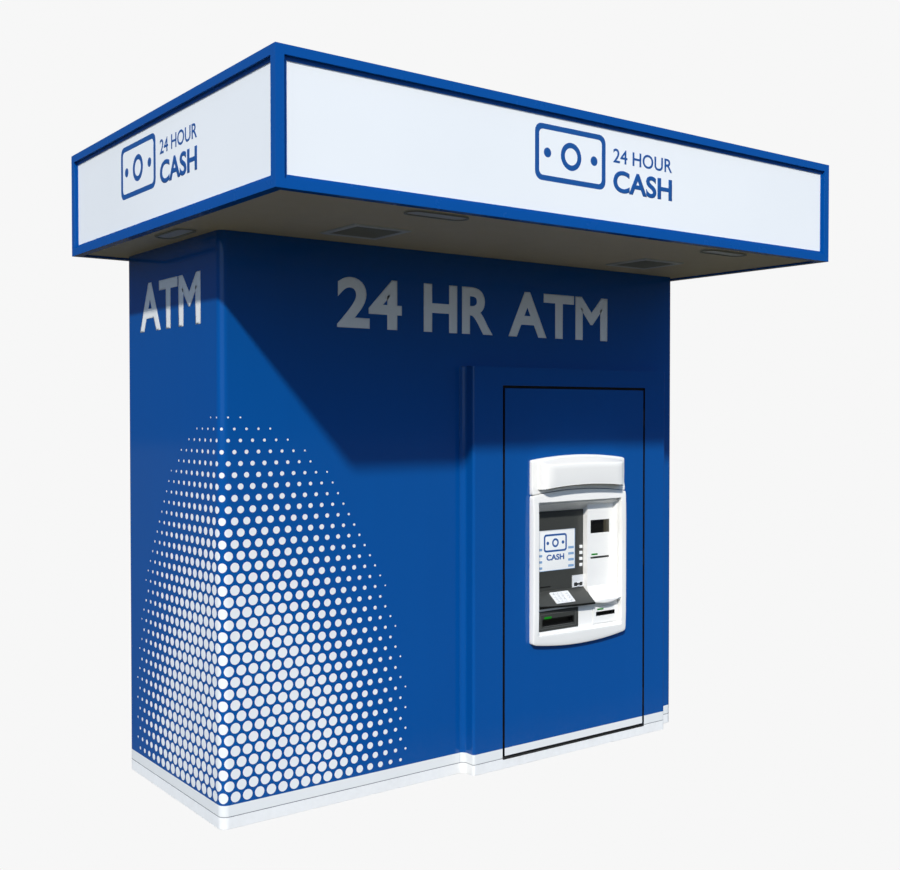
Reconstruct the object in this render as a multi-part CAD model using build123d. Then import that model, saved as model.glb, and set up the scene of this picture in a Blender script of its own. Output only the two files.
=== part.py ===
from build123d import *
import os

# Walk-up cash machine in a roofed kiosk. All sizes are in millimetres.
# X runs along the front from the left wall, Y goes from the front wall into the depth,
# and Z is up from the ground. ROW_SHIFT moves every piece on export, so that the
# origin lies at the bottom centre of the whole kiosk's bounding box.

# ---- body ----
BODY_W = 3055.0
BODY_D = 1160.0
CORNER_R = 40.0
WALL_T = 40.0
BASE_H = 55.0
WALL_TOP = 2780.0
POST = 80.0
JAMB_POST = 60.0
ANCHOR_X = (200.0, 2855.0)
ANCHOR_Y = (200.0, 960.0)
ANCHOR_R = 9.0
CONDUIT_AT = (1500.0, 820.0)
CONDUIT_R = 30.0

# ---- canopy ----
CANOPY_X = (-271.0, 3135.0)
CANOPY_Y = (-1056.0, 1233.0)
CANOPY_Z = (2770.0, 3300.0)
RAIL_H = 38.0
RAIL_DEEP = 42.0
LIP_EDGE = 54.0
LIP_BACK = (14.0, 18.0)
SIGN_BACK = (18.0, 24.0)
SIGN_GAP = 2.0
SOFFIT_T = 6.0
DECK_T = 18.0
BEAM_W = 120.0
BEAM_H = 200.0
PURLIN = 60.0
PURLIN_Y = (-900.0, -300.0, 300.0, 900.0)
SQUARE_LIGHT = 306.0
SQUARE_NECK = 270.0
SQUARE_LIGHTS_AT = ((567.0, -355.0), (2423.0, -355.0))
OVAL_LIGHT = (320.0, 100.0)
OVAL_NECK = (290.0, 72.0)
OVAL_LIGHTS_AT = ((578.0, -900.0, 0), (2440.0, -900.0, 0), (-120.5, 220.0, 90))
LIGHT_FLANGE = 4.0
LIGHT_CAN_TOP = 2850.0
BATTEN = 40.0
BATTEN_INSET = 70.0
SIDE_BATTEN_Y = (200.0, 1000.0)
BEAM_CLEARANCE = 10.0

# ---- raised bay with the front door ----
BAY_X = (1413.0, 2898.0)
BAY_PROUD = 84.0
BAY_TOP = 2186.0
COVE_R = 30.0
NOSE_R = 15.0
OPENING_X = (1616.0, 2717.0)
OPENING_TOP = 2085.0
SEAM = 12.0
DOOR_T = 40.0
SEAL_GAP = 1.5
SEAL_Y = (-72.0, -48.0)
WALL_HOLE_X = (1630.0, 2700.0)
WALL_HOLE_TOP = 2073.0
CUTOUT_X = (1830.0, 2510.0)
CUTOUT_Z = (680.0, 1459.0)
HINGE_AT = (2711.0, -79.0)
HINGE_R = 5.5
HINGE_PIN_R = 2.5
HINGE_BORE_R = 2.56
HINGE_LEAF = 6.0
HINGE_BOTTOMS = (180.0, 1020.0, 1860.0)
HINGE_LEN = 100.0
KNUCKLE = 25.0
KNUCKLE_GAP = 0.5
LEAF_START = 3.0
LEAF_LAP = 2.0
JAMB_CLEARANCE = 5.0

# ---- fascia on the front door ----
FASCIA_X = (1806.0, 2527.0)
FASCIA_EDGE_T = 22.0
FASCIA_CROWN = 38.0
FASCIA_BOTTOM = (655.0, 624.0)
PARTING = (1480.0, 1504.0)
FASCIA_TOP = (1676.0, 1701.0)
PARTING_GAP = 1.0
LIP_X = (1848.0, 2487.0)
LIP_Z = (698.0, 1441.0)
LIP_BACK_Y = -92.0
VISOR_X = (1848.0, 2485.0)
VISOR_TAPER = 14.0
VISOR_LOW = (1514.0, 1533.0)
VISOR_HIGH = (1668.0, 1693.0)
VISOR_FRONT = (-156.0, -168.0)
VISOR_SHOULDER = 1655.0

# ---- user niche ----
NICHE_X = (1836.0, 2504.0)
NICHE_Z = (686.0, 1453.0)
NICHE_Y = (-88.0, -19.0)
CHEEK_LEFT = 1850.0
CHEEK_RIGHT = (2484.0, 2475.0)
REVEAL_FRONT = 1428.0
REVEAL_BACK = 1379.0
PANEL_Y = -25.0
PANEL_T = 6.0
COLUMN_X = (2268.0, 2475.0)
COLUMN_Y = -60.0
LEDGE_Y = -118.0
LEDGE_TOP = (858.0, 905.0)
SHELF_LOW = 848.0
SHELF_X = (1853.0, 2268.0)
SHELF_BACK_Z = 930.0
SHELF_FRONT_Z = 857.0
SCREEN_X = (1905.0, 2208.0)
SCREEN_Z = (1040.0, 1273.0)
SCREEN_LAP = 6.0
CAMERA_X = (2294.0, 2448.0)
CAMERA_Z = (1238.0, 1315.0)
CAMERA_DEEP = 8.0
RECEIPT_X = (2295.0, 2441.0)
RECEIPT_Z = (1092.5, 1101.5)
READER_X = (2180.0, 2268.0)
READER_Z = (930.0, 1000.0)
READER_PROUD = 6.0
CARD_X = (2194.0, 2254.0)
CARD_Z = (941.0, 954.0)
FUNCTION_X = (1870.0, 2249.0)
FUNCTION_Z = (1163.0, 1128.0, 1093.0, 1058.0)
FUNCTION_KEY = (22.0, 18.0)
FUNCTION_Y = (-28.5, -15.0)
KEY_GAP = 0.5
VENT_X = (1937.0, 2016.0)
VENT_Z = (949.0, 953.0)

# ---- keypad on the sloping shelf ----
PLATE_X = (1988.0, 2130.0)
PLATE_DOWN = (20.5, 105.5)
PLATE_T = 4.0
KEY_COLUMNS = ((-50.0, 22.0), (-21.0, 22.0), (8.0, 22.0), (47.0, 28.0))
KEY_ROWS = (15.5, 33.5, 51.5, 69.5)
KEY_TALL = 13.0
KEY_HEIGHTS = (2.2, 7.0)

# ---- lower modules ----
LOWER_BACK = -60.0
DISPENSER_X = (1867.0, 2168.0)
DISPENSER_Z = (718.0, 828.0)
CASH_X = (1900.0, 2128.0)
CASH_Z = (750.0, 781.0)
CASH_SHUTTER_Y = (-70.0, -66.0)
CASH_TRAVEL = 30.0
DEPOSIT_X = (2287.0, 2478.0)
DEPOSIT_Z = (716.0, 812.0)
SLOT_X = (2312.0, 2459.0)
SLOT_Z = (762.0, 782.0)
SLOT_SHUTTER_Y = (-70.0, -66.0)
SLOT_TRAVEL = 20.0
MODULE_FRONT = -91.0
MODULE_BACK = 60.0
SHUTTER_LAP = 3.0
SHUTTER_GAP = 0.5
THROAT_WALL = 12.0
MODULE_GAP = 2.0
TRANSPORT_H = 125.0
TRANSPORT_RIGHT = 2120.0

# ---- safe and electronics ----
SAFE_X = (1850.0, 2490.0)
SAFE_Y = (60.0, 500.0)
SAFE_Z = (55.0, 860.0)
SAFE_T = 40.0
SAFE_STILE = 30.0
SAFE_DOOR_GAP = 2.0
SAFE_HINGE_R = 8.0
SAFE_PIN_R = 4.0
SAFE_BORE_R = 4.06
SAFE_HINGE_BOTTOMS = (200.0, 650.0)
SAFE_KNUCKLE = 30.0
SAFE_HINGE_INSET = (8.0, 10.0)
SAFE_LEAF = (20.0, 40.0)
SAFE_HANDLE_Z = 480.0
SAFE_HUB = (24.0, 34.0)
SAFE_BAR_Y = (35.0, 50.0)
SAFE_BAR_HALF = 11.0
SAFE_BAR_DOWN = 150.0
SAFE_BAR_UP = 20.0
SPINDLE_START = 15.0
CHASSIS_TOP = 1560.0
CHASSIS_BACK = 560.0
SHEET = 6.0
TRAY_Z = (960.3, 1050.0)
TRAY_Y = (120.0, 540.0)
TRAY_SIDE = 4.0
TRAY_SIDE_GAP = 2.0
TRAY_BOXES = ((20, 300, 75), (340, 140, 60), (500, 100, 40))
TRAY_BOX_INSET = 60.0
RAIL_Z = (948.0, 960.0)
RAIL_W = 24.0
PRINTER_X = (2290.0, 2440.0)
PRINTER_Y = (-15.0, 250.0)
PRINTER_Z = (1085.0, 1200.0)
PRINTER_SHELF_T = 10.0
PRINTER_SHELF_GAP = 0.3
ROLL_AT = (2310.0, 190.0, 1220.0)
ROLL_R = 45.0
ROLL_LEN = 110.0
CASSETTE_X = (1950.0, 2250.0)
CASSETTE_Y = (140.0, 430.0)
CASSETTE_H = 145.0
CASSETTE_COUNT = 4
DEPOSIT_BOX_X = (2280.0, 2430.0)

# ---- rear service door ----
REAR_HOLE_X = (1750.0, 2650.0)
REAR_HOLE_Z = (67.0, 2067.0)
REAR_GAP = 3.0
REAR_HINGE_AT = (2655.0, 1170.0)
REAR_HINGE_R = 8.0
REAR_PIN_R = 4.0
REAR_BORE_R = 4.06
REAR_HINGE_BOTTOMS = (250.0, 1000.0, 1750.0)
REAR_KNUCKLE = 50.0
REAR_LEAF = (35.0, 45.0)
LEAF_T = 5.0
UPPER_KNUCKLE = (0.5, 5.0)
LEVER_AT = (1830.0, 1050.0)
LEVER_HUB = (20.0, 36.0)
LEVER_BAR_X = (-12.0, 125.0)
LEVER_BAR_Y = (35.0, 49.0)
LEVER_BAR_HALF = 11.0
LEVER_SPINDLE = (25.0, 30.0)
SPINDLE_R = 8.0
SPINDLE_BORE_R = 8.08
BORE_START = 30.0

ROW_SHIFT = (
    -(CANOPY_X[0] + CANOPY_X[1]) / 2,
    -(CANOPY_Y[0] + CANOPY_Y[1]) / 2,
    0.0,
)


# ---- helpers ----
def block(x, y, z):
    """A box from three (low, high) pairs."""
    size = [high - low for low, high in (x, y, z)]
    middle = [(high + low) / 2 for low, high in (x, y, z)]
    return Pos(*middle) * Box(*size)


def rod(start, along, radius, length):
    """A round bar from a start point along a direction."""
    return Plane(origin=start, z_dir=along) * Pos(0, 0, length / 2) * Cylinder(radius, length)


def upright(centre, radius, bottom, top):
    """A vertical round bar between two heights."""
    return rod((centre[0], centre[1], bottom), (0, 0, 1), radius, top - bottom)


def section(points, x):
    """A prism along X from (y, z) points."""
    outline = Plane.YZ * make_face(Polyline(*points, close=True))
    return Pos(x[0], 0, 0) * extrude(outline, x[1] - x[0])


def plan(points, z):
    """A prism along Z from (x, y) points."""
    outline = make_face(Polyline(*points, close=True))
    return Pos(0, 0, z[0]) * extrude(outline, z[1] - z[0])


def grow(pair, by):
    """A (low, high) pair made wider on both ends."""
    return (pair[0] - by, pair[1] + by)


def middle_of(pair):
    return (pair[0] + pair[1]) / 2


def arched(x, low, high, y):
    """A slab across X with an arched lower and upper edge, each given as (ends, middle)."""
    centre = middle_of(x)
    edges = [
        ThreePointArc((x[0], low[0]), (centre, low[1]), (x[1], low[0])),
        Line((x[1], low[0]), (x[1], high[0])),
        ThreePointArc((x[1], high[0]), (centre, high[1]), (x[0], high[0])),
        Line((x[0], high[0]), (x[0], low[0])),
    ]
    outline = Plane.XZ * make_face(edges)
    return Pos(0, y[1], 0) * extrude(outline, y[1] - y[0])


def save(node, *pieces):
    """Write one node, a group of separate solids, moved to the row's origin."""
    solids = [solid for piece in pieces for solid in piece.solids()]
    group = Compound(solids).moved(Location(ROW_SHIFT))
    export_step(group, f"parts/{node}.step")


# ---- body ----
def body_plan():
    """The outline of the body and its raised bay, with a cove at the bay's foot."""
    body = Pos(BODY_W / 2, BODY_D / 2) * RectangleRounded(BODY_W, BODY_D, CORNER_R)
    bay_w = BAY_X[1] - BAY_X[0]
    bay = Pos(middle_of(BAY_X), 0) * Rectangle(bay_w, 2 * BAY_PROUD)
    outline = body + bay
    foot = [v for v in outline.vertices() if abs(v.Y) < 0.01 and min(abs(v.X - x) for x in BAY_X) < 0.01]
    outline = fillet(foot, COVE_R)
    nose = [v for v in outline.vertices() if abs(v.Y + BAY_PROUD) < 0.01]
    return fillet(nose, NOSE_R)


def base_slab():
    slab = extrude(body_plan(), BASE_H)
    for x in ANCHOR_X:
        for y in ANCHOR_Y:
            slab -= upright((x, y), ANCHOR_R, -1, BASE_H + 1)
    return slab - upright(CONDUIT_AT, CONDUIT_R, -1, BASE_H + 1)


def side_wall():
    """The left wall: a slab with both outer corners rounded to its full thickness."""
    diagonal = CORNER_R * (1 - 0.5**0.5)
    rear = BODY_D - diagonal
    edges = [
        Line((WALL_T, BODY_D), (WALL_T, 0)),
        ThreePointArc((WALL_T, 0), (diagonal, diagonal), (0, CORNER_R)),
        Line((0, CORNER_R), (0, BODY_D - CORNER_R)),
        ThreePointArc((0, BODY_D - CORNER_R), (diagonal, rear), (WALL_T, BODY_D)),
    ]
    return Pos(0, 0, BASE_H) * extrude(make_face(edges), WALL_TOP - BASE_H)


def right_wall():
    return Pos(BODY_W, 0, 0) * mirror(side_wall(), about=Plane.YZ)


def front_wall():
    wall = block((WALL_T, BODY_W - WALL_T), (0, WALL_T), (BASE_H, WALL_TOP))
    return wall - block(WALL_HOLE_X, (-1, WALL_T + 1), (BASE_H - 1, WALL_HOLE_TOP))


def knuckles(at, radius, pin_r, bottoms, length):
    """Lower hinge knuckles, each with a pin standing up into the knuckle above it."""
    parts = []
    for bottom in bottoms:
        lower = upright(at, radius, bottom, bottom + length)
        parts.append(lower + upright(at, pin_r, bottom, bottom + 2 * length))
    return parts


def rear_wall():
    wall = block((WALL_T, BODY_W - WALL_T), (BODY_D - WALL_T, BODY_D), (BASE_H, WALL_TOP))
    wall -= block(REAR_HOLE_X, (BODY_D - WALL_T - 1, BODY_D + 1), REAR_HOLE_Z)
    barrels = knuckles(REAR_HINGE_AT, REAR_HINGE_R, REAR_PIN_R, REAR_HINGE_BOTTOMS, REAR_KNUCKLE)
    for barrel, bottom in zip(barrels, REAR_HINGE_BOTTOMS):
        leaf_x = (REAR_HINGE_AT[0], REAR_HINGE_AT[0] + REAR_LEAF[0])
        wall += barrel + block(leaf_x, (BODY_D, BODY_D + LEAF_T), (bottom, bottom + REAR_KNUCKLE))
    return wall


def bay_surround():
    """The raised bay around the front door, with the fixed knuckles of three hinges."""
    bump = extrude(body_plan(), BAY_TOP - BASE_H)
    bump = Pos(0, 0, BASE_H) * bump
    bump -= block((-10, BODY_W + 10), (0, BODY_D + 10), (0, BAY_TOP + 1))
    bump -= block(OPENING_X, (-BAY_PROUD - 1, 1), (BASE_H - 1, OPENING_TOP))
    leaf_x = (HINGE_AT[0] + LEAF_START, OPENING_X[1] + LEAF_LAP)
    leaf_y = (HINGE_AT[1] - HINGE_LEAF / 2, HINGE_AT[1] + HINGE_LEAF / 2)
    for bottom in HINGE_BOTTOMS:
        bump += upright(HINGE_AT, HINGE_PIN_R, bottom, bottom + HINGE_LEN)
        for low in (bottom, bottom + HINGE_LEN - KNUCKLE):
            bump += upright(HINGE_AT, HINGE_R, low, low + KNUCKLE)
            bump += block(leaf_x, leaf_y, (low, low + KNUCKLE))
    return bump


def door_seal():
    """A rubber ring that lines the opening just behind the seam."""
    outer_z = (BASE_H, OPENING_TOP)
    inner = SEAM - SEAL_GAP
    ring = block(OPENING_X, SEAL_Y, outer_z)
    return ring - block(grow(OPENING_X, -inner), grow(SEAL_Y, 1), grow(outer_z, -inner))


def steel_frame():
    """Corner and jamb posts, and the beams, purlins and stubs above the ceiling."""
    height = (BASE_H, WALL_TOP)
    near = (WALL_T, WALL_T + POST)
    far_x = (BODY_W - WALL_T - POST, BODY_W - WALL_T)
    far_y = (BODY_D - WALL_T - POST, BODY_D - WALL_T)
    parts = [block(x, y, height) for x in (near, far_x) for y in (near, far_y)]
    jamb_y = (WALL_T, WALL_T + JAMB_POST)
    jamb_left = WALL_HOLE_X[0] - JAMB_CLEARANCE
    jamb_right = WALL_HOLE_X[1] + JAMB_CLEARANCE
    parts.append(block((jamb_left - JAMB_POST, jamb_left), jamb_y, height))
    parts.append(block((jamb_right, jamb_right + JAMB_POST), jamb_y, height))
    beam_z = (WALL_TOP + SOFFIT_T, WALL_TOP + SOFFIT_T + BEAM_H)
    inside_x = grow(CANOPY_X, -RAIL_DEEP)
    inside_y = grow(CANOPY_Y, -RAIL_DEEP)
    beams_x = ((WALL_T, WALL_T + BEAM_W), (BODY_W - WALL_T - BEAM_W, BODY_W - WALL_T))
    purlin_z = (beam_z[1], beam_z[1] + PURLIN)
    stub_z = (purlin_z[1], CANOPY_Z[1] - RAIL_H)
    parts += [block(x, inside_y, beam_z) for x in beams_x]
    for y in PURLIN_Y:
        parts.append(block(inside_x, (y - PURLIN / 2, y + PURLIN / 2), purlin_z))
        for x in beams_x:
            stub_x = (middle_of(x) - PURLIN / 2, middle_of(x) + PURLIN / 2)
            parts.append(block(stub_x, (y - PURLIN / 2, y + PURLIN / 2), stub_z))
    return parts


# ---- canopy ----
def canopy_frame():
    """Rails and corner posts of the light box, with a thin lip around each sign face."""
    low = (CANOPY_Z[0], CANOPY_Z[0] + RAIL_H)
    high = (CANOPY_Z[1] - RAIL_H, CANOPY_Z[1])
    ends_x = ((CANOPY_X[0], CANOPY_X[0] + RAIL_DEEP), (CANOPY_X[1] - RAIL_DEEP, CANOPY_X[1]))
    ends_y = ((CANOPY_Y[0], CANOPY_Y[0] + RAIL_DEEP), (CANOPY_Y[1] - RAIL_DEEP, CANOPY_Y[1]))
    parts = []
    for z in (low, high):
        parts += [block(CANOPY_X, y, z) for y in ends_y]
        parts += [block(x, grow(CANOPY_Y, -RAIL_DEEP), z) for x in ends_x]
    posts_x = ((CANOPY_X[0], CANOPY_X[0] + RAIL_H), (CANOPY_X[1] - RAIL_H, CANOPY_X[1]))
    posts_y = ((CANOPY_Y[0], CANOPY_Y[0] + RAIL_H), (CANOPY_Y[1] - RAIL_H, CANOPY_Y[1]))
    parts += [block(x, y, (low[1], high[0])) for x in posts_x for y in posts_y]
    lips_z = ((low[1], CANOPY_Z[0] + LIP_EDGE), (CANOPY_Z[1] - LIP_EDGE, high[0]))
    lips_x = ((posts_x[0][1], CANOPY_X[0] + LIP_EDGE), (CANOPY_X[1] - LIP_EDGE, posts_x[1][0]))
    lips_y = ((posts_y[0][1], CANOPY_Y[0] + LIP_EDGE), (CANOPY_Y[1] - LIP_EDGE, posts_y[1][0]))
    upright_z = (lips_z[0][1], lips_z[1][0])
    front_back = faces_of(CANOPY_Y, LIP_BACK)
    left_right = faces_of(CANOPY_X, LIP_BACK)
    for y in front_back:
        parts += [block((lips_x[0][0], lips_x[1][1]), y, z) for z in lips_z]
        parts += [block(x, y, upright_z) for x in lips_x]
    for x in left_right:
        parts += [block(x, (lips_y[0][0], lips_y[1][1]), z) for z in lips_z]
        parts += [block(x, y, upright_z) for y in lips_y]
    return parts


def faces_of(span, depth):
    """The two layers at a depth range behind both ends of a span."""
    near = (span[0] + depth[0], span[0] + depth[1])
    far = (span[1] - depth[1], span[1] - depth[0])
    return (near, far)


def sign_faces():
    """Four translucent panels held behind the lips."""
    edge = RAIL_H + SIGN_GAP
    z = grow(CANOPY_Z, -edge)
    parts = [block(grow(CANOPY_X, -edge), y, z) for y in faces_of(CANOPY_Y, SIGN_BACK)]
    parts += [block(x, grow(CANOPY_Y, -edge), z) for x in faces_of(CANOPY_X, SIGN_BACK)]
    return parts


def light_holes(margin):
    """Necks of the ceiling lights, as prisms through the ceiling."""
    z = WALL_TOP
    size = SQUARE_NECK + 2 * margin
    necks = [Pos(x, y, z) * extrude(Rectangle(size, size), SOFFIT_T) for x, y in SQUARE_LIGHTS_AT]
    for x, y, turn in OVAL_LIGHTS_AT:
        slot = SlotOverall(OVAL_NECK[0] + 2 * margin, OVAL_NECK[1] + 2 * margin)
        necks.append(Pos(x, y, z) * Rot(0, 0, turn) * extrude(slot, SOFFIT_T))
    return necks


def soffit_panel():
    span_x = grow(CANOPY_X, -RAIL_DEEP)
    span_y = grow(CANOPY_Y, -RAIL_DEEP)
    sheet = block(span_x, span_y, (WALL_TOP, WALL_TOP + SOFFIT_T))
    for neck in light_holes(1.0):
        sheet -= neck
    return sheet


def canopy_lights():
    """Ceiling lights with a flange, neck and can each, and four strips behind the signs."""
    lights = []
    low = WALL_TOP - LIGHT_FLANGE
    can = WALL_TOP + SOFFIT_T
    for neck, at in zip(light_holes(0.0), SQUARE_LIGHTS_AT + OVAL_LIGHTS_AT):
        if len(at) == 2:
            flange = Rectangle(SQUARE_LIGHT, SQUARE_LIGHT)
            body = Rectangle(SQUARE_NECK, SQUARE_NECK)
            turn = 0
        else:
            flange = SlotOverall(*OVAL_LIGHT)
            body = SlotOverall(*OVAL_NECK)
            turn = at[2]
        place = Pos(at[0], at[1], 0) * Rot(0, 0, turn)
        light = neck + Pos(0, 0, low) * place * extrude(flange, LIGHT_FLANGE)
        lights.append(light + Pos(0, 0, can) * place * extrude(body, LIGHT_CAN_TOP - can))
    strip_z = (can, can + BATTEN)
    run_x = grow(CANOPY_X, -2 * RAIL_DEEP)
    inset = (BATTEN_INSET, BATTEN_INSET + BATTEN)
    for y in faces_of(CANOPY_Y, inset):
        lights += [block(x, y, strip_z) for x in split_run(run_x)]
    lights += [block(x, SIDE_BATTEN_Y, strip_z) for x in faces_of(CANOPY_X, inset)]
    return lights


def split_run(run):
    """The lengths of a long strip that lie clear of the two main beams."""
    left_beam = grow((WALL_T, WALL_T + BEAM_W), BEAM_CLEARANCE)
    right_beam = grow((BODY_W - WALL_T - BEAM_W, BODY_W - WALL_T), BEAM_CLEARANCE)
    runs = [
        (run[0] + BATTEN, left_beam[0]),
        (left_beam[1], right_beam[0]),
        (right_beam[1], run[1] - BATTEN),
    ]
    return [(start, end) for start, end in runs if end - start > BATTEN]


def roof_deck():
    bottom = CANOPY_Z[1] - RAIL_H
    return block(grow(CANOPY_X, -RAIL_DEEP), grow(CANOPY_Y, -RAIL_DEEP), (bottom, bottom + DECK_T))


# ---- front door ----
def front_door():
    """The door leaf with its cut-out for the niche and the moving hinge knuckles."""
    face = (-BAY_PROUD, -BAY_PROUD + DOOR_T)
    door_x = grow(OPENING_X, -SEAM)
    door_z = (BASE_H + SEAM, OPENING_TOP - SEAM)
    door = block(door_x, face, door_z)
    door -= block(CUTOUT_X, grow(face, 1), CUTOUT_Z)
    leaf_x = (door_x[1] - LEAF_LAP, HINGE_AT[0] - LEAF_START)
    leaf_y = (HINGE_AT[1] - HINGE_LEAF / 2, HINGE_AT[1] + HINGE_LEAF / 2)
    for bottom in HINGE_BOTTOMS:
        low = bottom + KNUCKLE + KNUCKLE_GAP
        high = bottom + HINGE_LEN - KNUCKLE - KNUCKLE_GAP
        door += upright(HINGE_AT, HINGE_R, low, high) + block(leaf_x, leaf_y, (low, high))
        door -= upright(HINGE_AT, HINGE_BORE_R, low - 1, high + 1)
    return door


def fascia_collar():
    """The white frame around the niche, crowned from top to bottom, with a thin inner lip."""
    face = -BAY_PROUD
    edge = face - FASCIA_EDGE_T
    crown = face - FASCIA_CROWN
    slab = arched(FASCIA_X, FASCIA_BOTTOM, PARTING, (crown, face))
    low, high = (FASCIA_BOTTOM[1], PARTING[1])
    edges = [
        ThreePointArc((edge, low), (crown, (low + high) / 2), (edge, high)),
        Line((edge, high), (face, high)),
        Line((face, high), (face, low)),
        Line((face, low), (edge, low)),
    ]
    profile = Pos(FASCIA_X[0], 0, 0) * extrude(Plane.YZ * make_face(edges), FASCIA_X[1] - FASCIA_X[0])
    collar = slab & profile
    collar -= block(LIP_X, (crown - 1, face + 1), LIP_Z)
    return collar - block(CUTOUT_X, (LIP_BACK_Y, face + 1), CUTOUT_Z)


def fascia_hood():
    """The upper plate with a visor that stands out over the niche."""
    face = -BAY_PROUD
    edge = face - FASCIA_EDGE_T
    low = (PARTING[0] + PARTING_GAP, PARTING[1] + PARTING_GAP)
    plate = arched(FASCIA_X, low, FASCIA_TOP, (edge, face))
    visor = arched(VISOR_X, VISOR_LOW, VISOR_HIGH, (VISOR_FRONT[1], face))
    side = [
        (face, VISOR_LOW[0] - 5),
        (VISOR_FRONT[0], VISOR_LOW[0] - 5),
        (VISOR_FRONT[1], VISOR_SHOULDER),
        (edge, VISOR_HIGH[1]),
        (face, VISOR_HIGH[1]),
    ]
    visor &= section(side, VISOR_X)
    nose = (VISOR_X[0] + VISOR_TAPER, VISOR_X[1] - VISOR_TAPER)
    top_view = [
        (VISOR_X[0], face),
        (VISOR_X[0], edge),
        (nose[0], VISOR_FRONT[1]),
        (nose[1], VISOR_FRONT[1]),
        (VISOR_X[1], edge),
        (VISOR_X[1], face),
    ]
    visor &= plan(top_view, (VISOR_LOW[0] - 10, VISOR_HIGH[1] + 10))
    return plate + visor


# ---- niche ----
def niche_side(low):
    """The niche's side view from a given height up to its sloping reveal."""
    front, back = NICHE_Y
    return [(front, low), (front, REVEAL_FRONT), (back, REVEAL_BACK), (back, low)]


def niche_shell():
    """The liner: reveal, two cheeks, and the lower front as strips around its modules."""
    front, back = NICHE_Y
    top = NICHE_Z[1]
    reveal = section([(front, REVEAL_FRONT), (front, top), (back, top), (back, REVEAL_BACK)], NICHE_X)
    left = section(niche_side(SHELF_LOW), (NICHE_X[0], CHEEK_LEFT))
    cheek = [
        (CHEEK_RIGHT[0], front),
        (NICHE_X[1], front),
        (NICHE_X[1], back),
        (CHEEK_RIGHT[1], back),
        (CHEEK_RIGHT[1], COLUMN_Y),
    ]
    right = plan(cheek, (SHELF_LOW, top)) & section(niche_side(SHELF_LOW), NICHE_X)
    depth = (front, LOWER_BACK)
    gap = MODULE_GAP
    sill = (NICHE_Z[0], DISPENSER_Z[0] - gap)
    slot_top = (DEPOSIT_Z[1] + gap, SHELF_LOW)
    cash_top = (DISPENSER_Z[1] + gap, SHELF_LOW)
    column_z = (sill[1], SHELF_LOW)
    cash_x = grow(DISPENSER_X, gap)
    slot_x = grow(DEPOSIT_X, gap)
    strips = [
        block(NICHE_X, depth, (sill[0], DEPOSIT_Z[0] - gap)),
        block((NICHE_X[0], slot_x[0]), depth, (DEPOSIT_Z[0] - gap, sill[1])),
        block((NICHE_X[0], cash_x[0]), depth, column_z),
        block((cash_x[1], slot_x[0]), depth, column_z),
        block((slot_x[1], NICHE_X[1]), depth, (DEPOSIT_Z[0] - gap, SHELF_LOW)),
        block(cash_x, depth, cash_top),
        block(slot_x, depth, slot_top),
    ]
    return [reveal, left, right] + strips


def display_bezel():
    """The dark panel around the screen and function keys, and the monitor's case behind it."""
    panel = block((CHEEK_LEFT, COLUMN_X[0]), (PANEL_Y, PANEL_Y + PANEL_T), (SHELF_BACK_Z, REVEAL_BACK))
    panel -= block(SCREEN_X, (PANEL_Y - 1, PANEL_Y + PANEL_T + 1), SCREEN_Z)
    panel -= block(READER_X, (PANEL_Y - 1, PANEL_Y + PANEL_T + 1), READER_Z)
    panel -= block(VENT_X, (PANEL_Y - 1, PANEL_Y + PANEL_T - 2), VENT_Z)
    for x in FUNCTION_X:
        for z in FUNCTION_Z:
            hole_x = (x - FUNCTION_KEY[0] / 2 - KEY_GAP, x + FUNCTION_KEY[0] / 2 + KEY_GAP)
            hole_z = (z - FUNCTION_KEY[1] / 2 - KEY_GAP, z + FUNCTION_KEY[1] / 2 + KEY_GAP)
            panel -= block(hole_x, (PANEL_Y - 1, PANEL_Y + PANEL_T + 1), hole_z)
    case_y = (PANEL_Y + 2 * PANEL_T, 50.0)
    case = block(grow(SCREEN_X, 9), case_y, grow(SCREEN_Z, 9))
    return [panel, case]


def screen_and_camera_glass():
    screen_y = (PANEL_Y + PANEL_T, PANEL_Y + 2 * PANEL_T)
    screen = block(grow(SCREEN_X, SCREEN_LAP), screen_y, grow(SCREEN_Z, SCREEN_LAP))
    camera_y = (COLUMN_Y + CAMERA_DEEP - 3, COLUMN_Y + CAMERA_DEEP)
    return [screen, block(CAMERA_X, camera_y, CAMERA_Z)]


def service_column():
    """The white column right of the screen, with the ledge at its foot."""
    back = NICHE_Y[1]
    slope = (REVEAL_FRONT - REVEAL_BACK) / (NICHE_Y[1] - NICHE_Y[0])
    top = REVEAL_BACK + slope * (back - COLUMN_Y)
    side = [(back, SHELF_LOW), (COLUMN_Y, SHELF_LOW), (COLUMN_Y, top), (back, REVEAL_BACK)]
    column = section(side, COLUMN_X)
    column -= block(CAMERA_X, (COLUMN_Y - 1, COLUMN_Y + CAMERA_DEEP), CAMERA_Z)
    column -= block(RECEIPT_X, (COLUMN_Y - 1, back + 1), RECEIPT_Z)
    ledge = section(
        [(COLUMN_Y, SHELF_LOW), (LEDGE_Y, SHELF_LOW), (LEDGE_Y, LEDGE_TOP[0]), (COLUMN_Y, LEDGE_TOP[1])],
        (COLUMN_X[0] + 1, COLUMN_X[1]),
    )
    return [column, ledge]


def card_reader():
    """The reader's body with its throat for a card."""
    front = PANEL_Y - READER_PROUD
    body = block(grow(READER_X, -0.5), (front, 90.0), grow(READER_Z, -0.5))
    return body - block(CARD_X, (front - 1, front + 14), CARD_Z)


def keypad_shelf():
    side = [
        (NICHE_Y[1], SHELF_LOW),
        (LEDGE_Y, SHELF_LOW),
        (LEDGE_Y, SHELF_FRONT_Z),
        (PANEL_Y, SHELF_BACK_Z),
        (NICHE_Y[1], SHELF_BACK_Z),
    ]
    return section(side, SHELF_X)


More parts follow.
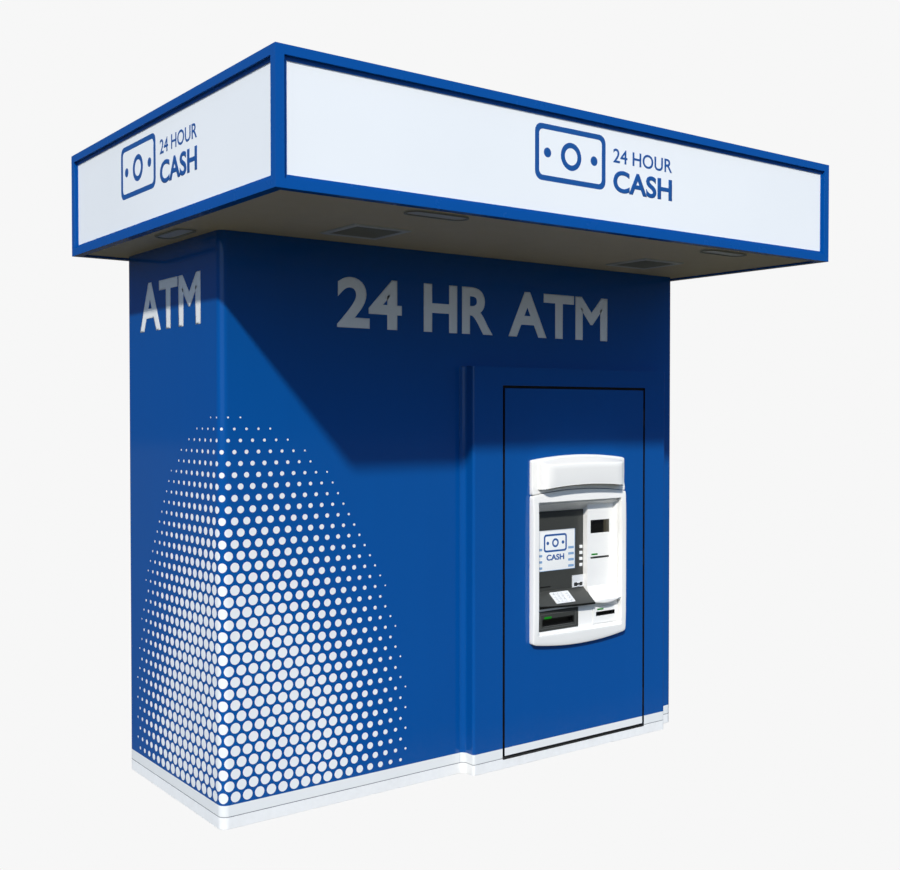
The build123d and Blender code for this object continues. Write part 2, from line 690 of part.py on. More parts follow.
def shelf_plane():
    """A plane on the shelf's slope, at its back edge, with Y pointing up the slope."""
    down = Vector(0, LEDGE_Y - PANEL_Y, SHELF_FRONT_Z - SHELF_BACK_Z).normalized()
    normal = Vector(0, down.Z, -down.Y)
    return Plane(origin=(middle_of(PLATE_X), PANEL_Y, SHELF_BACK_Z), x_dir=(1, 0, 0), z_dir=normal)


def key_places():
    """Number, centre along X, centre down the slope, and width of each keypad key."""
    places = []
    for row in KEY_ROWS:
        for x, wide in KEY_COLUMNS:
            places.append((len(places) + 1, x, -(PLATE_DOWN[0] + row), wide))
    return places


def keypad_plate():
    wide = PLATE_X[1] - PLATE_X[0]
    tall = PLATE_DOWN[1] - PLATE_DOWN[0]
    flat = Pos(0, -middle_of(PLATE_DOWN)) * RectangleRounded(wide, tall, 4)
    plate = extrude(flat, PLATE_T)
    for _, x, y, key_wide in key_places():
        hole = Pos(x, y) * Rectangle(key_wide + 2 * KEY_GAP, KEY_TALL + 2 * KEY_GAP)
        plate -= extrude(hole, PLATE_T)
    return shelf_plane() * plate


def keypad_key(x, y, wide):
    low, high = KEY_HEIGHTS
    cap = Pos(x, y, low) * extrude(RectangleRounded(wide, KEY_TALL, 1.5), high - low)
    return shelf_plane() * cap


def function_key(x, z):
    wide, tall = FUNCTION_KEY
    front, back = FUNCTION_Y
    flat = Pos(x, z) * RectangleRounded(wide, tall, 2)
    return Pos(0, back, 0) * extrude(Plane.XZ * flat, back - front)


# ---- lower modules ----
def slot_module(x, z, mouth_x, mouth_z, shutter_y, travel):
    """A module in the lower front: a block with a mouth and a pocket for its shutter."""
    front = block(x, (MODULE_FRONT, LOWER_BACK), z)
    throat_x = grow(mouth_x, THROAT_WALL)
    throat = block(throat_x, (LOWER_BACK, MODULE_BACK), grow(mouth_z, THROAT_WALL))
    pocket_z = (mouth_z[0] - SHUTTER_LAP, mouth_z[1] + SHUTTER_LAP + travel + 1)
    pocket_y = grow(shutter_y, SHUTTER_GAP)
    module = front + throat
    module -= block(mouth_x, (MODULE_FRONT - 1, MODULE_BACK + 1), mouth_z)
    return module - block(grow(mouth_x, SHUTTER_LAP + SHUTTER_GAP), pocket_y, pocket_z)


def shutter(mouth_x, mouth_z, shutter_y):
    return block(grow(mouth_x, SHUTTER_LAP), shutter_y, grow(mouth_z, SHUTTER_LAP))


def cash_dispenser():
    """The dispenser's dark mouth, and the note transport above the cassettes."""
    mouth = slot_module(DISPENSER_X, DISPENSER_Z, CASH_X, CASH_Z, CASH_SHUTTER_Y, CASH_TRAVEL)
    transport_x = (CASSETTE_X[0], TRANSPORT_RIGHT)
    transport_y = (SAFE_Y[0] + SAFE_T + 4, CASSETTE_Y[1])
    top = SAFE_Z[0] + SAFE_T + CASSETTE_COUNT * CASSETTE_H
    transport = block(transport_x, transport_y, (top, top + TRANSPORT_H))
    return [mouth, transport]


def depository():
    return slot_module(DEPOSIT_X, DEPOSIT_Z, SLOT_X, SLOT_Z, SLOT_SHUTTER_Y, SLOT_TRAVEL)


# ---- safe ----
def safe_body():
    """Thick plates, each a block, with gaps in the front for notes and deposits."""
    left = (SAFE_X[0], SAFE_X[0] + SAFE_T)
    right = (SAFE_X[1] - SAFE_T, SAFE_X[1])
    inside_z = (SAFE_Z[0] + SAFE_T, SAFE_Z[1] - SAFE_T)
    inside_x = (left[1], right[0])
    plates = [
        block(left, SAFE_Y, inside_z),
        block(right, SAFE_Y, inside_z),
        block(SAFE_X, SAFE_Y, (SAFE_Z[0], inside_z[0])),
        block(SAFE_X, SAFE_Y, (inside_z[1], SAFE_Z[1])),
    ]
    front = (SAFE_Y[0], SAFE_Y[0] + SAFE_T)
    pass_z = (CASH_Z[0] - 5, CASH_Z[1] + 5)
    deposit_edge = inside_x[1] - 10
    plates += [
        block(inside_x, front, (inside_z[0], pass_z[0])),
        block(inside_x, front, (pass_z[1], inside_z[1])),
        block((inside_x[0], CASH_X[0]), front, pass_z),
        block((CASH_X[1], SLOT_X[0]), front, pass_z),
        block((deposit_edge, inside_x[1]), front, pass_z),
    ]
    rear = (SAFE_Y[1] - SAFE_T, SAFE_Y[1])
    plates.append(block((inside_x[0], inside_x[0] + SAFE_STILE), rear, inside_z))
    stile = block((inside_x[1] - SAFE_STILE, inside_x[1]), rear, inside_z)
    at = safe_hinge_at()
    barrels = knuckles(at, SAFE_HINGE_R, SAFE_PIN_R, SAFE_HINGE_BOTTOMS, SAFE_KNUCKLE)
    for barrel, bottom in zip(barrels, SAFE_HINGE_BOTTOMS):
        leaf_x = (at[0], at[0] + SAFE_LEAF[0])
        leaf_z = (bottom, bottom + SAFE_KNUCKLE)
        stile += barrel + block(leaf_x, (SAFE_Y[1], SAFE_Y[1] + LEAF_T), leaf_z)
    plates.append(stile)
    return plates


def safe_hinge_at():
    """The safe door's hinge line, just outside its opening."""
    opening_edge = SAFE_X[1] - SAFE_T - SAFE_STILE
    return (opening_edge + SAFE_HINGE_INSET[0], SAFE_Y[1] + SAFE_HINGE_INSET[1])


def safe_door():
    opening_x = (SAFE_X[0] + SAFE_T + SAFE_STILE, SAFE_X[1] - SAFE_T - SAFE_STILE)
    opening_z = (SAFE_Z[0] + SAFE_T, SAFE_Z[1] - SAFE_T)
    rear = (SAFE_Y[1] - SAFE_T, SAFE_Y[1])
    door = block(grow(opening_x, -SAFE_DOOR_GAP), rear, grow(opening_z, -SAFE_DOOR_GAP))
    at = safe_hinge_at()
    leaf_x = (at[0] - SAFE_LEAF[1], at[0])
    for bottom in SAFE_HINGE_BOTTOMS:
        z = (bottom + SAFE_KNUCKLE + UPPER_KNUCKLE[0], bottom + 2 * SAFE_KNUCKLE + UPPER_KNUCKLE[1])
        door += upright(at, SAFE_HINGE_R, *z) + block(leaf_x, (rear[1], rear[1] + LEAF_T), z)
        door -= upright(at, SAFE_BORE_R, z[0] - 1, z[0] + SAFE_KNUCKLE + 1)
    x, z = safe_handle_at()
    return door - rod((x, rear[1] - BORE_START, z), (0, 1, 0), SPINDLE_BORE_R, SAFE_T)


def safe_handle_at():
    return (middle_of(SAFE_X), SAFE_HANDLE_Z)


def safe_handle():
    """A lever hanging from a hub on the safe door."""
    x, z = safe_handle_at()
    face = SAFE_Y[1]
    hub_r, hub_len = SAFE_HUB
    spindle = rod((x, face - SAFE_T + SPINDLE_START, z), (0, 1, 0), SPINDLE_R, SAFE_T)
    hub = rod((x, face + 1, z), (0, 1, 0), hub_r, hub_len)
    bar_x = (x - SAFE_BAR_HALF, x + SAFE_BAR_HALF)
    bar_y = (face + SAFE_BAR_Y[0], face + SAFE_BAR_Y[1])
    return spindle + hub + block(bar_x, bar_y, (z - SAFE_BAR_DOWN, z + SAFE_BAR_UP))


def cash_cassettes():
    """Stacked note cassettes, and the deposit box beside them."""
    floor = SAFE_Z[0] + SAFE_T
    boxes = []
    for level in range(CASSETTE_COUNT):
        low = floor + level * CASSETTE_H
        boxes.append(block(CASSETTE_X, CASSETTE_Y, (low, low + CASSETTE_H - 1)))
    boxes.append(block(DEPOSIT_BOX_X, CASSETTE_Y, (floor, floor + CASSETTE_COUNT * CASSETTE_H)))
    return boxes


# ---- electronics ----
def atm_chassis():
    """Side, top and bottom sheets above the safe, slide rails, and the printer's shelf."""
    z = (SAFE_Z[1] + 2 * SHEET, CHASSIS_TOP - SHEET)
    deep = (NICHE_Y[1], CHASSIS_BACK)
    left = (SAFE_X[0], SAFE_X[0] + SHEET)
    right = (SAFE_X[1] - SHEET, SAFE_X[1])
    rail_left = (left[1], left[1] + RAIL_W)
    rail_right = (right[0] - RAIL_W, right[0])
    shelf_x = (PRINTER_X[0] - 10, right[0])
    shelf_top = PRINTER_Z[0] - PRINTER_SHELF_GAP
    return [
        block(left, deep, z),
        block(right, deep, z),
        block(SAFE_X, deep, (CHASSIS_TOP - SHEET, CHASSIS_TOP)),
        block(SAFE_X, (SAFE_Y[0], CHASSIS_BACK), (SAFE_Z[1], z[0])),
        block(rail_left, (SAFE_Y[0] + 10, CHASSIS_BACK), RAIL_Z),
        block(rail_right, (SAFE_Y[0] + 10, CHASSIS_BACK), RAIL_Z),
        block(shelf_x, (PRINTER_Y[0], CHASSIS_BACK), (shelf_top - PRINTER_SHELF_T, shelf_top)),
    ]


def electronics_tray():
    """A sliding tray with the computer, power supply and network box on it."""
    x = grow(SAFE_X, -(SHEET + TRAY_SIDE_GAP))
    low, high = TRAY_Z
    floor = (low, low + TRAY_SIDE)
    wall_z = (floor[1], high)
    inner_y = grow(TRAY_Y, -TRAY_SIDE)
    parts = [
        block(x, TRAY_Y, floor),
        block((x[0], x[0] + TRAY_SIDE), TRAY_Y, wall_z),
        block((x[1] - TRAY_SIDE, x[1]), TRAY_Y, wall_z),
        block(grow(x, -TRAY_SIDE), (TRAY_Y[0], inner_y[0]), wall_z),
        block(grow(x, -TRAY_SIDE), (inner_y[1], TRAY_Y[1]), wall_z),
    ]
    for start, wide, tall in TRAY_BOXES:
        box_x = (x[0] + start, x[0] + start + wide)
        parts.append(block(box_x, grow(TRAY_Y, -TRAY_BOX_INSET), (floor[1], floor[1] + tall)))
    return parts


def receipt_printer():
    body = block(PRINTER_X, PRINTER_Y, PRINTER_Z)
    return body + rod(ROLL_AT, (1, 0, 0), ROLL_R, ROLL_LEN)


# ---- rear service door ----
def rear_door():
    door_y = (BODY_D - WALL_T, BODY_D)
    door = block(grow(REAR_HOLE_X, -REAR_GAP), door_y, grow(REAR_HOLE_Z, -REAR_GAP))
    leaf_x = (REAR_HINGE_AT[0] - REAR_LEAF[1], REAR_HINGE_AT[0])
    for bottom in REAR_HINGE_BOTTOMS:
        z = (bottom + REAR_KNUCKLE + UPPER_KNUCKLE[0], bottom + 2 * REAR_KNUCKLE + UPPER_KNUCKLE[1])
        door += upright(REAR_HINGE_AT, REAR_HINGE_R, *z)
        door += block(leaf_x, (BODY_D, BODY_D + LEAF_T), z)
        door -= upright(REAR_HINGE_AT, REAR_BORE_R, z[0] - 1, z[0] + REAR_KNUCKLE + 1)
    x, z = LEVER_AT
    return door - rod((x, BODY_D - BORE_START, z), (0, 1, 0), SPINDLE_BORE_R, WALL_T)


def rear_door_lever():
    """A lever on a hub, with a spindle that runs into the door."""
    x, z = LEVER_AT
    spindle = rod((x, BODY_D - LEVER_SPINDLE[0], z), (0, 1, 0), SPINDLE_R, LEVER_SPINDLE[1])
    hub = rod((x, BODY_D + 1, z), (0, 1, 0), LEVER_HUB[0], LEVER_HUB[1])
    bar_x = (x + LEVER_BAR_X[0], x + LEVER_BAR_X[1])
    bar_y = (BODY_D + LEVER_BAR_Y[0], BODY_D + LEVER_BAR_Y[1])
    bar_z = (z - LEVER_BAR_HALF, z + LEVER_BAR_HALF)
    return spindle + hub + block(bar_x, bar_y, bar_z)


def main():
    os.makedirs("parts", exist_ok=True)
    save("base_slab", base_slab())
    save("left_wall", side_wall())
    save("right_wall", right_wall())
    save("front_wall", front_wall())
    save("rear_wall", rear_wall())
    save("bay_surround", bay_surround())
    save("door_seal", door_seal())
    save("steel_frame", *steel_frame())
    save("canopy_frame", *canopy_frame())
    save("sign_faces", *sign_faces())
    save("soffit_panel", soffit_panel())
    save("canopy_lights", *canopy_lights())
    save("roof_deck", roof_deck())
    save("front_door", front_door())
    save("fascia_collar", fascia_collar())
    save("fascia_hood", fascia_hood())
    save("niche_shell", *niche_shell())
    save("display_bezel", *display_bezel())
    save("screen_and_camera_glass", *screen_and_camera_glass())
    save("service_column", *service_column())
    save("card_reader", card_reader())
    save("keypad_shelf", keypad_shelf())
    save("keypad_plate", keypad_plate())
    save("cash_dispenser", *cash_dispenser())
    save("cash_shutter", shutter(CASH_X, CASH_Z, CASH_SHUTTER_Y))
    save("depository", depository())
    save("deposit_shutter", shutter(SLOT_X, SLOT_Z, SLOT_SHUTTER_Y))
    save("safe_body", *safe_body())
    save("safe_door", safe_door())
    save("safe_handle", safe_handle())
    save("cash_cassettes", *cash_cassettes())
    save("atm_chassis", *atm_chassis())
    save("electronics_tray", *electronics_tray())
    save("receipt_printer", receipt_printer())
    save("rear_door", rear_door())
    save("rear_door_lever", rear_door_lever())
    for number, x, y, wide in key_places():
        save(f"keypad_key_{number}", keypad_key(x, y, wide))
    number = 0
    for x in FUNCTION_X:
        for z in FUNCTION_Z:
            number += 1
            save(f"function_key_{number}", function_key(x, z))


main()
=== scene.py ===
from math import cos, pi, radians, sin

import bmesh
import bpy
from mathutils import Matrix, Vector


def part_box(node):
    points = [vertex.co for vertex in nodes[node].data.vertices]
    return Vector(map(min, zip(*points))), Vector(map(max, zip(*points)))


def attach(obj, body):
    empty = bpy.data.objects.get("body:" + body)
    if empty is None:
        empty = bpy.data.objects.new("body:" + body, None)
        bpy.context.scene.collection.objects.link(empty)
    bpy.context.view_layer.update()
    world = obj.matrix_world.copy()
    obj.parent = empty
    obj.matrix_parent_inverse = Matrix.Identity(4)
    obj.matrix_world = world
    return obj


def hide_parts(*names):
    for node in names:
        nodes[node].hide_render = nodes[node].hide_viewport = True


# A cash machine kiosk. Sizes are in millimetres from the body's front left corner: X along the
# front, Y into the depth and Z up. spot() turns such a place into the frame's metres.

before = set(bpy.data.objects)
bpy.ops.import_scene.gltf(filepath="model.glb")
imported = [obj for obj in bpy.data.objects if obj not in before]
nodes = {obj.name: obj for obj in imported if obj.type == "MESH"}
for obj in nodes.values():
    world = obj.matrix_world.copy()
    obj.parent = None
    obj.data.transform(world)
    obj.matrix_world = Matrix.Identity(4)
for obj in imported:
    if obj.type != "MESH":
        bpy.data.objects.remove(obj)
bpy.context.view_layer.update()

MM = 0.001
CORNER = Vector((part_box("left_wall")[0].x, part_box("front_wall")[0].y, 0.0))

# ---- the body and its graphics ----
CORNER_R = 40.0
BAND_TOP = 111.0
BAND_JOINT = 59.0
FILM = 0.4
FRONT_WORDS = (("24", (625.0, 1011.0)), ("HR", (1149.0, 1611.0)), ("ATM", (1722.0, 2484.0)))
SIDE_WORDS_Y = (973.0, 209.0)
WORDS_Z = (2361.0, 2613.0)
WORDS_WEIGHT = 0.03
SEAM_RING_X = (1616.0, 2717.0)
SEAM_RING_Z = (55.0, 2085.0)
SEAM = 12.0
SEAM_WIDTH = 15.0
SEAM_DEPTHS = (-84.5, -42.0)
SILL_Z = (49.0, 55.0, 56.5)
DOT_PITCH = 62.0
DOT_FIELD = (1090.0, 1880.0)
DOT_LARGEST = 0.4

# ---- canopy ----
SIGN_FRONT_Y = -1038.0
SIGN_LEFT_X = -253.0
SIGN_MARK_Z = 2862.0
SIGN_MARK_AT = (1008.0, 554.0)
NOTE_WIDE = (0.0, 430.0)
NOTE_TALL = (100.0, 350.0)
NOTE_LINE = 24.0
SIGN_WORDS_FROM = 480.0
SIGN_WORDS_WIDE = 400.0
SIGN_HOURS = (236.0, 66.0)
SIGN_CASH = (100.0, 104.0)
LAMP_FACE_Z = 2776.0
CEILING_LAMPS = ((567.0, -355.0), (2423.0, -355.0))
OVAL_LAMPS = ((578.0, -900.0, False), (2440.0, -900.0, False), (-120.5, 220.0, True))

# ---- fascia ----
DOOR_FACE = -84.0
COLLAR_X = (1806.0, 2527.0)
COLLAR_BOTTOM = (655.0, 624.0)
PARTING = (1480.0, 1504.0)
PARTING_GAP = 3.2
HOOD_TOP = (1676.0, 1701.0)
OPENING_X = (1844.0, 2488.0)
OPENING_Z = (698.0, 1441.0)
LIP_BACK_Y = -92.0
CUTOUT_X = (1830.0, 2510.0)
CUTOUT_Z = (680.0, 1459.0)
EDGE_DEPTH = 22.0
COLLAR_EDGE = 28.0
CROWN_DEPTH = 38.0
EDGE_RISE = (0.9, 0.95)
SQUARE_FROM = 1440.0
VISOR_X = (1848.0, 2485.0)
VISOR_LOW = (1514.0, 1533.0)
VISOR_HIGH = (1668.0, 1693.0)
VISOR_DEPTH = (80.0, 84.0)
VISOR_SHOULDER = 1655.0
VISOR_END = 62.0
VISOR_STEPS = (0.2, 0.4, 0.6, 0.8, 0.9, 1.0)

# ---- niche ----
SCREEN_X = (1905.0, 2208.0)
SCREEN_Z = (1040.0, 1273.0)
GLASS_Y = -19.0
PANEL_Y = -25.0
COLUMN_Y = -60.0
COLUMN_X = (2268.0, 2475.0)
MENU_NOTE_WIDE = (64.0, 240.0)
MENU_NOTE_TALL = (106.0, 208.0)
CHOICES_X = ((8.0, 52.0), (251.0, 295.0))
CHOICES_Z = (1163.0, 1128.0, 1093.0, 1058.0)
WINDOW_X = (2294.0, 2448.0)
WINDOW_Z = (1238.0, 1315.0)
RECEIPT_X = (2295.0, 2441.0)
RECEIPT_Z = (1092.5, 1101.5)
SHELF_X = (1853.0, 2268.0)
SHELF_BACK = (-25.0, 930.0)
SHELF_FRONT = (-118.0, 857.0)
SHELF_ROOT_Y = -19.0
SHELF_LOW = 848.0
SHELF_ENDS = (-111.0, -127.0)
SHELF_BOW = 3.0
SHELF_EDGE = 9.5
LEDGE_RIGHT = 2480.0
LEDGE_FRONT_Y = -122.0
LEDGE_BOW = 6.0
LEDGE_LOW = (847.0, 856.0)
LEDGE_DROOP = 16.0
LEDGE_TOP = 858.5
LEDGE_EDGE = 9.0
LEDGE_ROOT_Z = 934.0
MODULE_Y = -91.0
DISPENSER_X = (1867.0, 2168.0)
DISPENSER_Z = (718.0, 828.0)
CASH_X = (1900.0, 2128.0)
CASH_Z = (750.0, 781.0)
SLOT_X = (2312.0, 2459.0)
SLOT_Z = (762.0, 782.0)
SLIT_X = (1900.0, 2014.0)
SLIT_Z = (947.5, 954.5)
KEY_LABELS = "123C456X789O<0>="
READER_X = (2191.0, 2257.0)
READER_Z = (937.5, 957.5)
READER_RIM = 8.3
CASH_LIP_Z = (742.0, 745.5)
SLOT_LAMPS = (
    ((2301.0, 2350.0), (1110.5, 1119.5), COLUMN_Y),
    ((1909.0, 1962.0), (785.5, 796.5), MODULE_Y - 1.0),
    ((2319.0, 2368.0), (793.0, 802.0), MODULE_Y),
)


def spot(x, y, z):
    """A place in millimetres from the body's front left corner, in the frame's metres."""
    return CORNER + Vector((x, y, z)) * MM


def middle_of(pair):
    """The value halfway between two."""
    return (pair[0] + pair[1]) / 2


def between(pair, share):
    """The value at a share of the way from the first to the second."""
    return pair[0] + (pair[1] - pair[0]) * share


def wider(pair, before, after):
    """A (low, high) pair with room added at both ends."""
    return (pair[0] - before, pair[1] + after)


def arch(ends_and_middle, share):
    """The height of a shallow arc at a share of its width, from its end and middle heights."""
    ends, top = ends_and_middle
    return ends + (top - ends) * (1 - (2 * share - 1) ** 2)


def paint_rgb(red, green, blue):
    """A colour given in 0 to 255 steps, as a linear colour."""
    parts = []
    for step in (red, green, blue):
        part = step / 255
        parts.append(part / 12.92 if part <= 0.04045 else ((part + 0.055) / 1.055) ** 2.4)
    return (*parts, 1.0)


# ---- nodes ----
class Tree:
    """Short ways to add and join the nodes of a material or a node group."""

    def __init__(self, tree):
        self.tree = tree

    def node(self, kind, **settings):
        node = self.tree.nodes.new("ShaderNode" + kind)
        for name, value in settings.items():
            setattr(node, name, value)
        return node

    def feed(self, socket, value):
        """Join an output to a socket, or set the socket's own value."""
        if isinstance(value, bpy.types.NodeSocket):
            self.tree.links.new(value, socket)
        else:
            socket.default_value = value

    def math(self, operation, first, second=0.0, clamp=False):
        node = self.node("Math", operation=operation, use_clamp=clamp)
        self.feed(node.inputs[0], first)
        self.feed(node.inputs[1], second)
        return node.outputs[0]

    def spread(self, value, low, high):
        """A 0 to 1 value moved to run from low to high."""
        node = self.node("MapRange")
        self.feed(node.inputs["Value"], value)
        node.inputs["To Min"].default_value = low
        node.inputs["To Max"].default_value = high
        return node.outputs[0]

    def step(self, value, low, high):
        """1 below low and 0 above high, with a smooth change between them."""
        node = self.node("MapRange", interpolation_type="SMOOTHSTEP")
        self.feed(node.inputs["Value"], value)
        node.inputs["From Min"].default_value = low
        node.inputs["From Max"].default_value = high
        node.inputs["To Min"].default_value = 1.0
        node.inputs["To Max"].default_value = 0.0
        return node.outputs[0]

    def noise(self, vector, scale, detail=2.0):
        node = self.node("TexNoise")
        self.feed(node.inputs["Vector"], vector)
        self.feed(node.inputs["Scale"], scale)
        node.inputs["Detail"].default_value = detail
        return node.outputs[0]

    def mapping(self, vector, scale):
        node = self.node("Mapping")
        self.feed(node.inputs["Vector"], vector)
        node.inputs["Scale"].default_value = scale
        return node.outputs[0]

    def mix(self, share, first, second):
        node = self.node("Mix", data_type="RGBA")
        self.feed(node.inputs[0], share)
        self.feed(node.inputs[6], first)
        self.feed(node.inputs[7], second)
        return node.outputs[2]

    def height_of(self, vector):
        node = self.node("SeparateXYZ")
        self.feed(node.inputs[0], vector)
        return node.outputs["Z"]

    def group(self, group, **values):
        node = self.node("Group", node_tree=group)
        for name, value in values.items():
            self.feed(node.inputs[name], value)
        return node.outputs

    def bump(self, height, depth, normal=None):
        node = self.node("Bump")
        self.feed(node.inputs["Height"], height)
        node.inputs["Distance"].default_value = depth
        if normal is not None:
            self.feed(node.inputs["Normal"], normal)
        return node.outputs[0]


SOCKETS = {"number": "NodeSocketFloat", "vector": "NodeSocketVector", "colour": "NodeSocketColor"}


def new_group(name, takes, gives):
    """An empty node group with named sockets: its tree, its inputs and its output node."""
    group = bpy.data.node_groups.new(name, "ShaderNodeTree")
    for socket, kind in takes:
        group.interface.new_socket(name=socket, in_out="INPUT", socket_type=SOCKETS[kind])
    for socket, kind in gives:
        group.interface.new_socket(name=socket, in_out="OUTPUT", socket_type=SOCKETS[kind])
    tree = Tree(group)
    inputs = group.nodes.new("NodeGroupInput").outputs
    outputs = group.nodes.new("NodeGroupOutput").inputs
    return group, tree, inputs, outputs


def make_paint_skin():
    """Sprayed paint: orange peel, a broad drift of tone, faint runs of rain, uneven gloss."""
    group, tree, takes, gives = new_group(
        "paint_skin",
        (("Vector", "vector"), ("Peel", "number")),
        (("Height", "number"), ("Tone", "number"), ("Gloss", "number")),
    )
    vector = takes["Vector"]
    tree.feed(gives["Height"], tree.noise(vector, takes["Peel"], 1.0))
    drift = tree.noise(vector, 1.3, 3.0)
    runs = tree.noise(tree.mapping(vector, (14.0, 14.0, 0.6)), 1.0, 4.0)
    broad, streaked = tree.math("MULTIPLY", drift, 0.6), tree.math("MULTIPLY", runs, 0.4)
    tree.feed(gives["Tone"], tree.math("ADD", broad, streaked))
    tree.feed(gives["Gloss"], tree.noise(vector, 9.0, 4.0))
    return group


def make_settled_dirt():
    """Dust on faces that look up, and splashes near the ground."""
    group, tree, takes, gives = new_group(
        "settled_dirt",
        (("Vector", "vector"), ("Dust", "number"), ("Splash", "number")),
        (("Mask", "number"),),
    )
    vector = takes["Vector"]
    geometry = tree.node("NewGeometry")
    up = tree.math("SUBTRACT", 1.0, tree.step(tree.height_of(geometry.outputs["Normal"]), 0.3, 0.95))
    patches = tree.spread(tree.noise(vector, 7.0, 6.0), 0.2, 1.0)
    dust = tree.math("MULTIPLY", tree.math("MULTIPLY", up, patches), takes["Dust"])
    low = tree.step(tree.height_of(vector), 0.0, 0.32)
    specks = tree.math("MULTIPLY", tree.noise(vector, 34.0, 5.0), tree.noise(vector, 5.0, 2.0))
    splash = tree.math("MULTIPLY", tree.math("MULTIPLY", low, specks), takes["Splash"])
    tree.feed(gives["Mask"], tree.math("ADD", dust, splash, clamp=True))
    return group


def make_edge_wear_and_sheen():
    """Edges eased by a small radius, and a mask of where they are rubbed and lightened, which is wear and
    also a painted highlight.
    """
    group, tree, takes, gives = new_group(
        "edge_wear_and_sheen",
        (("Vector", "vector"), ("Radius", "number")),
        (("Normal", "vector"), ("RubAndSheen", "number")),
    )
    eased = tree.node("Bevel", samples=4)
    tree.feed(eased.inputs["Radius"], takes["Radius"])
    geometry = tree.node("NewGeometry")
    along = tree.node("VectorMath", operation="DOT_PRODUCT")
    tree.feed(along.inputs[0], eased.outputs[0])
    tree.feed(along.inputs[1], geometry.outputs["Normal"])
    edge = tree.step(along.outputs["Value"], 0.75, 0.985)
    rubbed_and_sheen = tree.math("MULTIPLY", edge, tree.noise(takes["Vector"], 40.0, 5.0))
    tree.feed(gives["Normal"], eased.outputs[0])
    tree.feed(gives["RubAndSheen"], rubbed_and_sheen)
    return group


def make_moulded_grain():
    """Moulded plastic: a pebbled skin and a slight drift of tone."""
    group, tree, takes, gives = new_group(
        "moulded_grain",
        (("Vector", "vector"), ("Grain", "number")),
        (("Height", "number"), ("Tone", "number")),
    )
    cells = tree.node("TexVoronoi", feature="SMOOTH_F1")
    tree.feed(cells.inputs["Vector"], takes["Vector"])
    tree.feed(cells.inputs["Scale"], takes["Grain"])
    tree.feed(gives["Height"], cells.outputs["Distance"])
    tree.feed(gives["Tone"], tree.noise(takes["Vector"], 5.0, 4.0))
    return group


def make_brushed_lines():
    """Fine lines along X, as brushing or rolling leaves them on metal."""
    group, tree, takes, gives = new_group(
        "brushed_lines",
        (("Vector", "vector"),),
        (("Height", "number"), ("Tone", "number")),
    )
    lines = tree.mapping(takes["Vector"], (6.0, 900.0, 900.0))
    tree.feed(gives["Height"], tree.noise(lines, 1.0, 3.0))
    tree.feed(gives["Tone"], tree.noise(tree.mapping(takes["Vector"], (3.0, 60.0, 60.0)), 1.0, 4.0))
    return group


PAINT_SKIN = make_paint_skin()
SETTLED_DIRT = make_settled_dirt()
EDGE_WEAR_AND_SHEEN = make_edge_wear_and_sheen()
MOULDED_GRAIN = make_moulded_grain()
BRUSHED_LINES = make_brushed_lines()
DIRT_COLOUR = paint_rgb(150, 144, 132)


def new_finish(name, **constants):
    """A material with one Principled shader: the material, its tree, shader and coordinates."""
    material = bpy.data.materials.new(name)
    material.use_nodes = True
    tree = Tree(material.node_tree)
    shader = material.node_tree.nodes["Principled BSDF"]
    for socket, value in constants.items():
        shader.inputs[socket.replace("_", " ")].default_value = value
    vector = tree.node("TexCoord").outputs["Object"]
    return material, tree, shader.inputs, vector


def toned(tree, colour, tone, reach):
    """A colour that drifts darker and lighter with a 0 to 1 tone."""
    dark = (*(part * (1 - reach) for part in colour[:3]), 1.0)
    light = (*(min(1.0, part * (1 + reach)) for part in colour[:3]), 1.0)
    return tree.mix(tree.spread(tone, -0.2, 1.2), dark, light)


def make_door_gap_shade():
    """A mask of the black line round the front door, on its edges and on the face beside them: painted
    shade for the dark gap round the door.
    """
    group, tree, takes, gives = new_group("door_gap_shade", (("Vector", "vector"),), (("Mask", "number"),))
    place = tree.node("SeparateXYZ")
    tree.feed(place.inputs[0], takes["Vector"])
    low = spot(SEAM_RING_X[0], SEAM_DEPTHS[0], SEAM_RING_Z[0])
    high = spot(SEAM_RING_X[1], SEAM_DEPTHS[1], SEAM_RING_Z[1])
    off_line = []
    for axis in ("X", "Z"):
        number = "XYZ".index(axis)
        middle = (low[number] + high[number]) / 2
        half = (high[number] - low[number]) / 2 - SEAM / 2 * MM
        aside = tree.math("ABSOLUTE", tree.math("SUBTRACT", place.outputs[axis], middle))
        off_line.append(tree.math("SUBTRACT", aside, half))
    away = tree.math("ABSOLUTE", tree.math("MAXIMUM", off_line[0], off_line[1]))
    near = tree.step(away, (SEAM_WIDTH / 2 - 0.2) * MM, (SEAM_WIDTH / 2 + 0.2) * MM)
    behind = tree.math("GREATER_THAN", place.outputs["Y"], low.y)
    before = tree.math("LESS_THAN", place.outputs["Y"], high.y)
    tree.feed(gives["Mask"], tree.math("MULTIPLY", near, tree.math("MULTIPLY", behind, before)))
    return group


DOOR_GAP_SHADE = make_door_gap_shade()


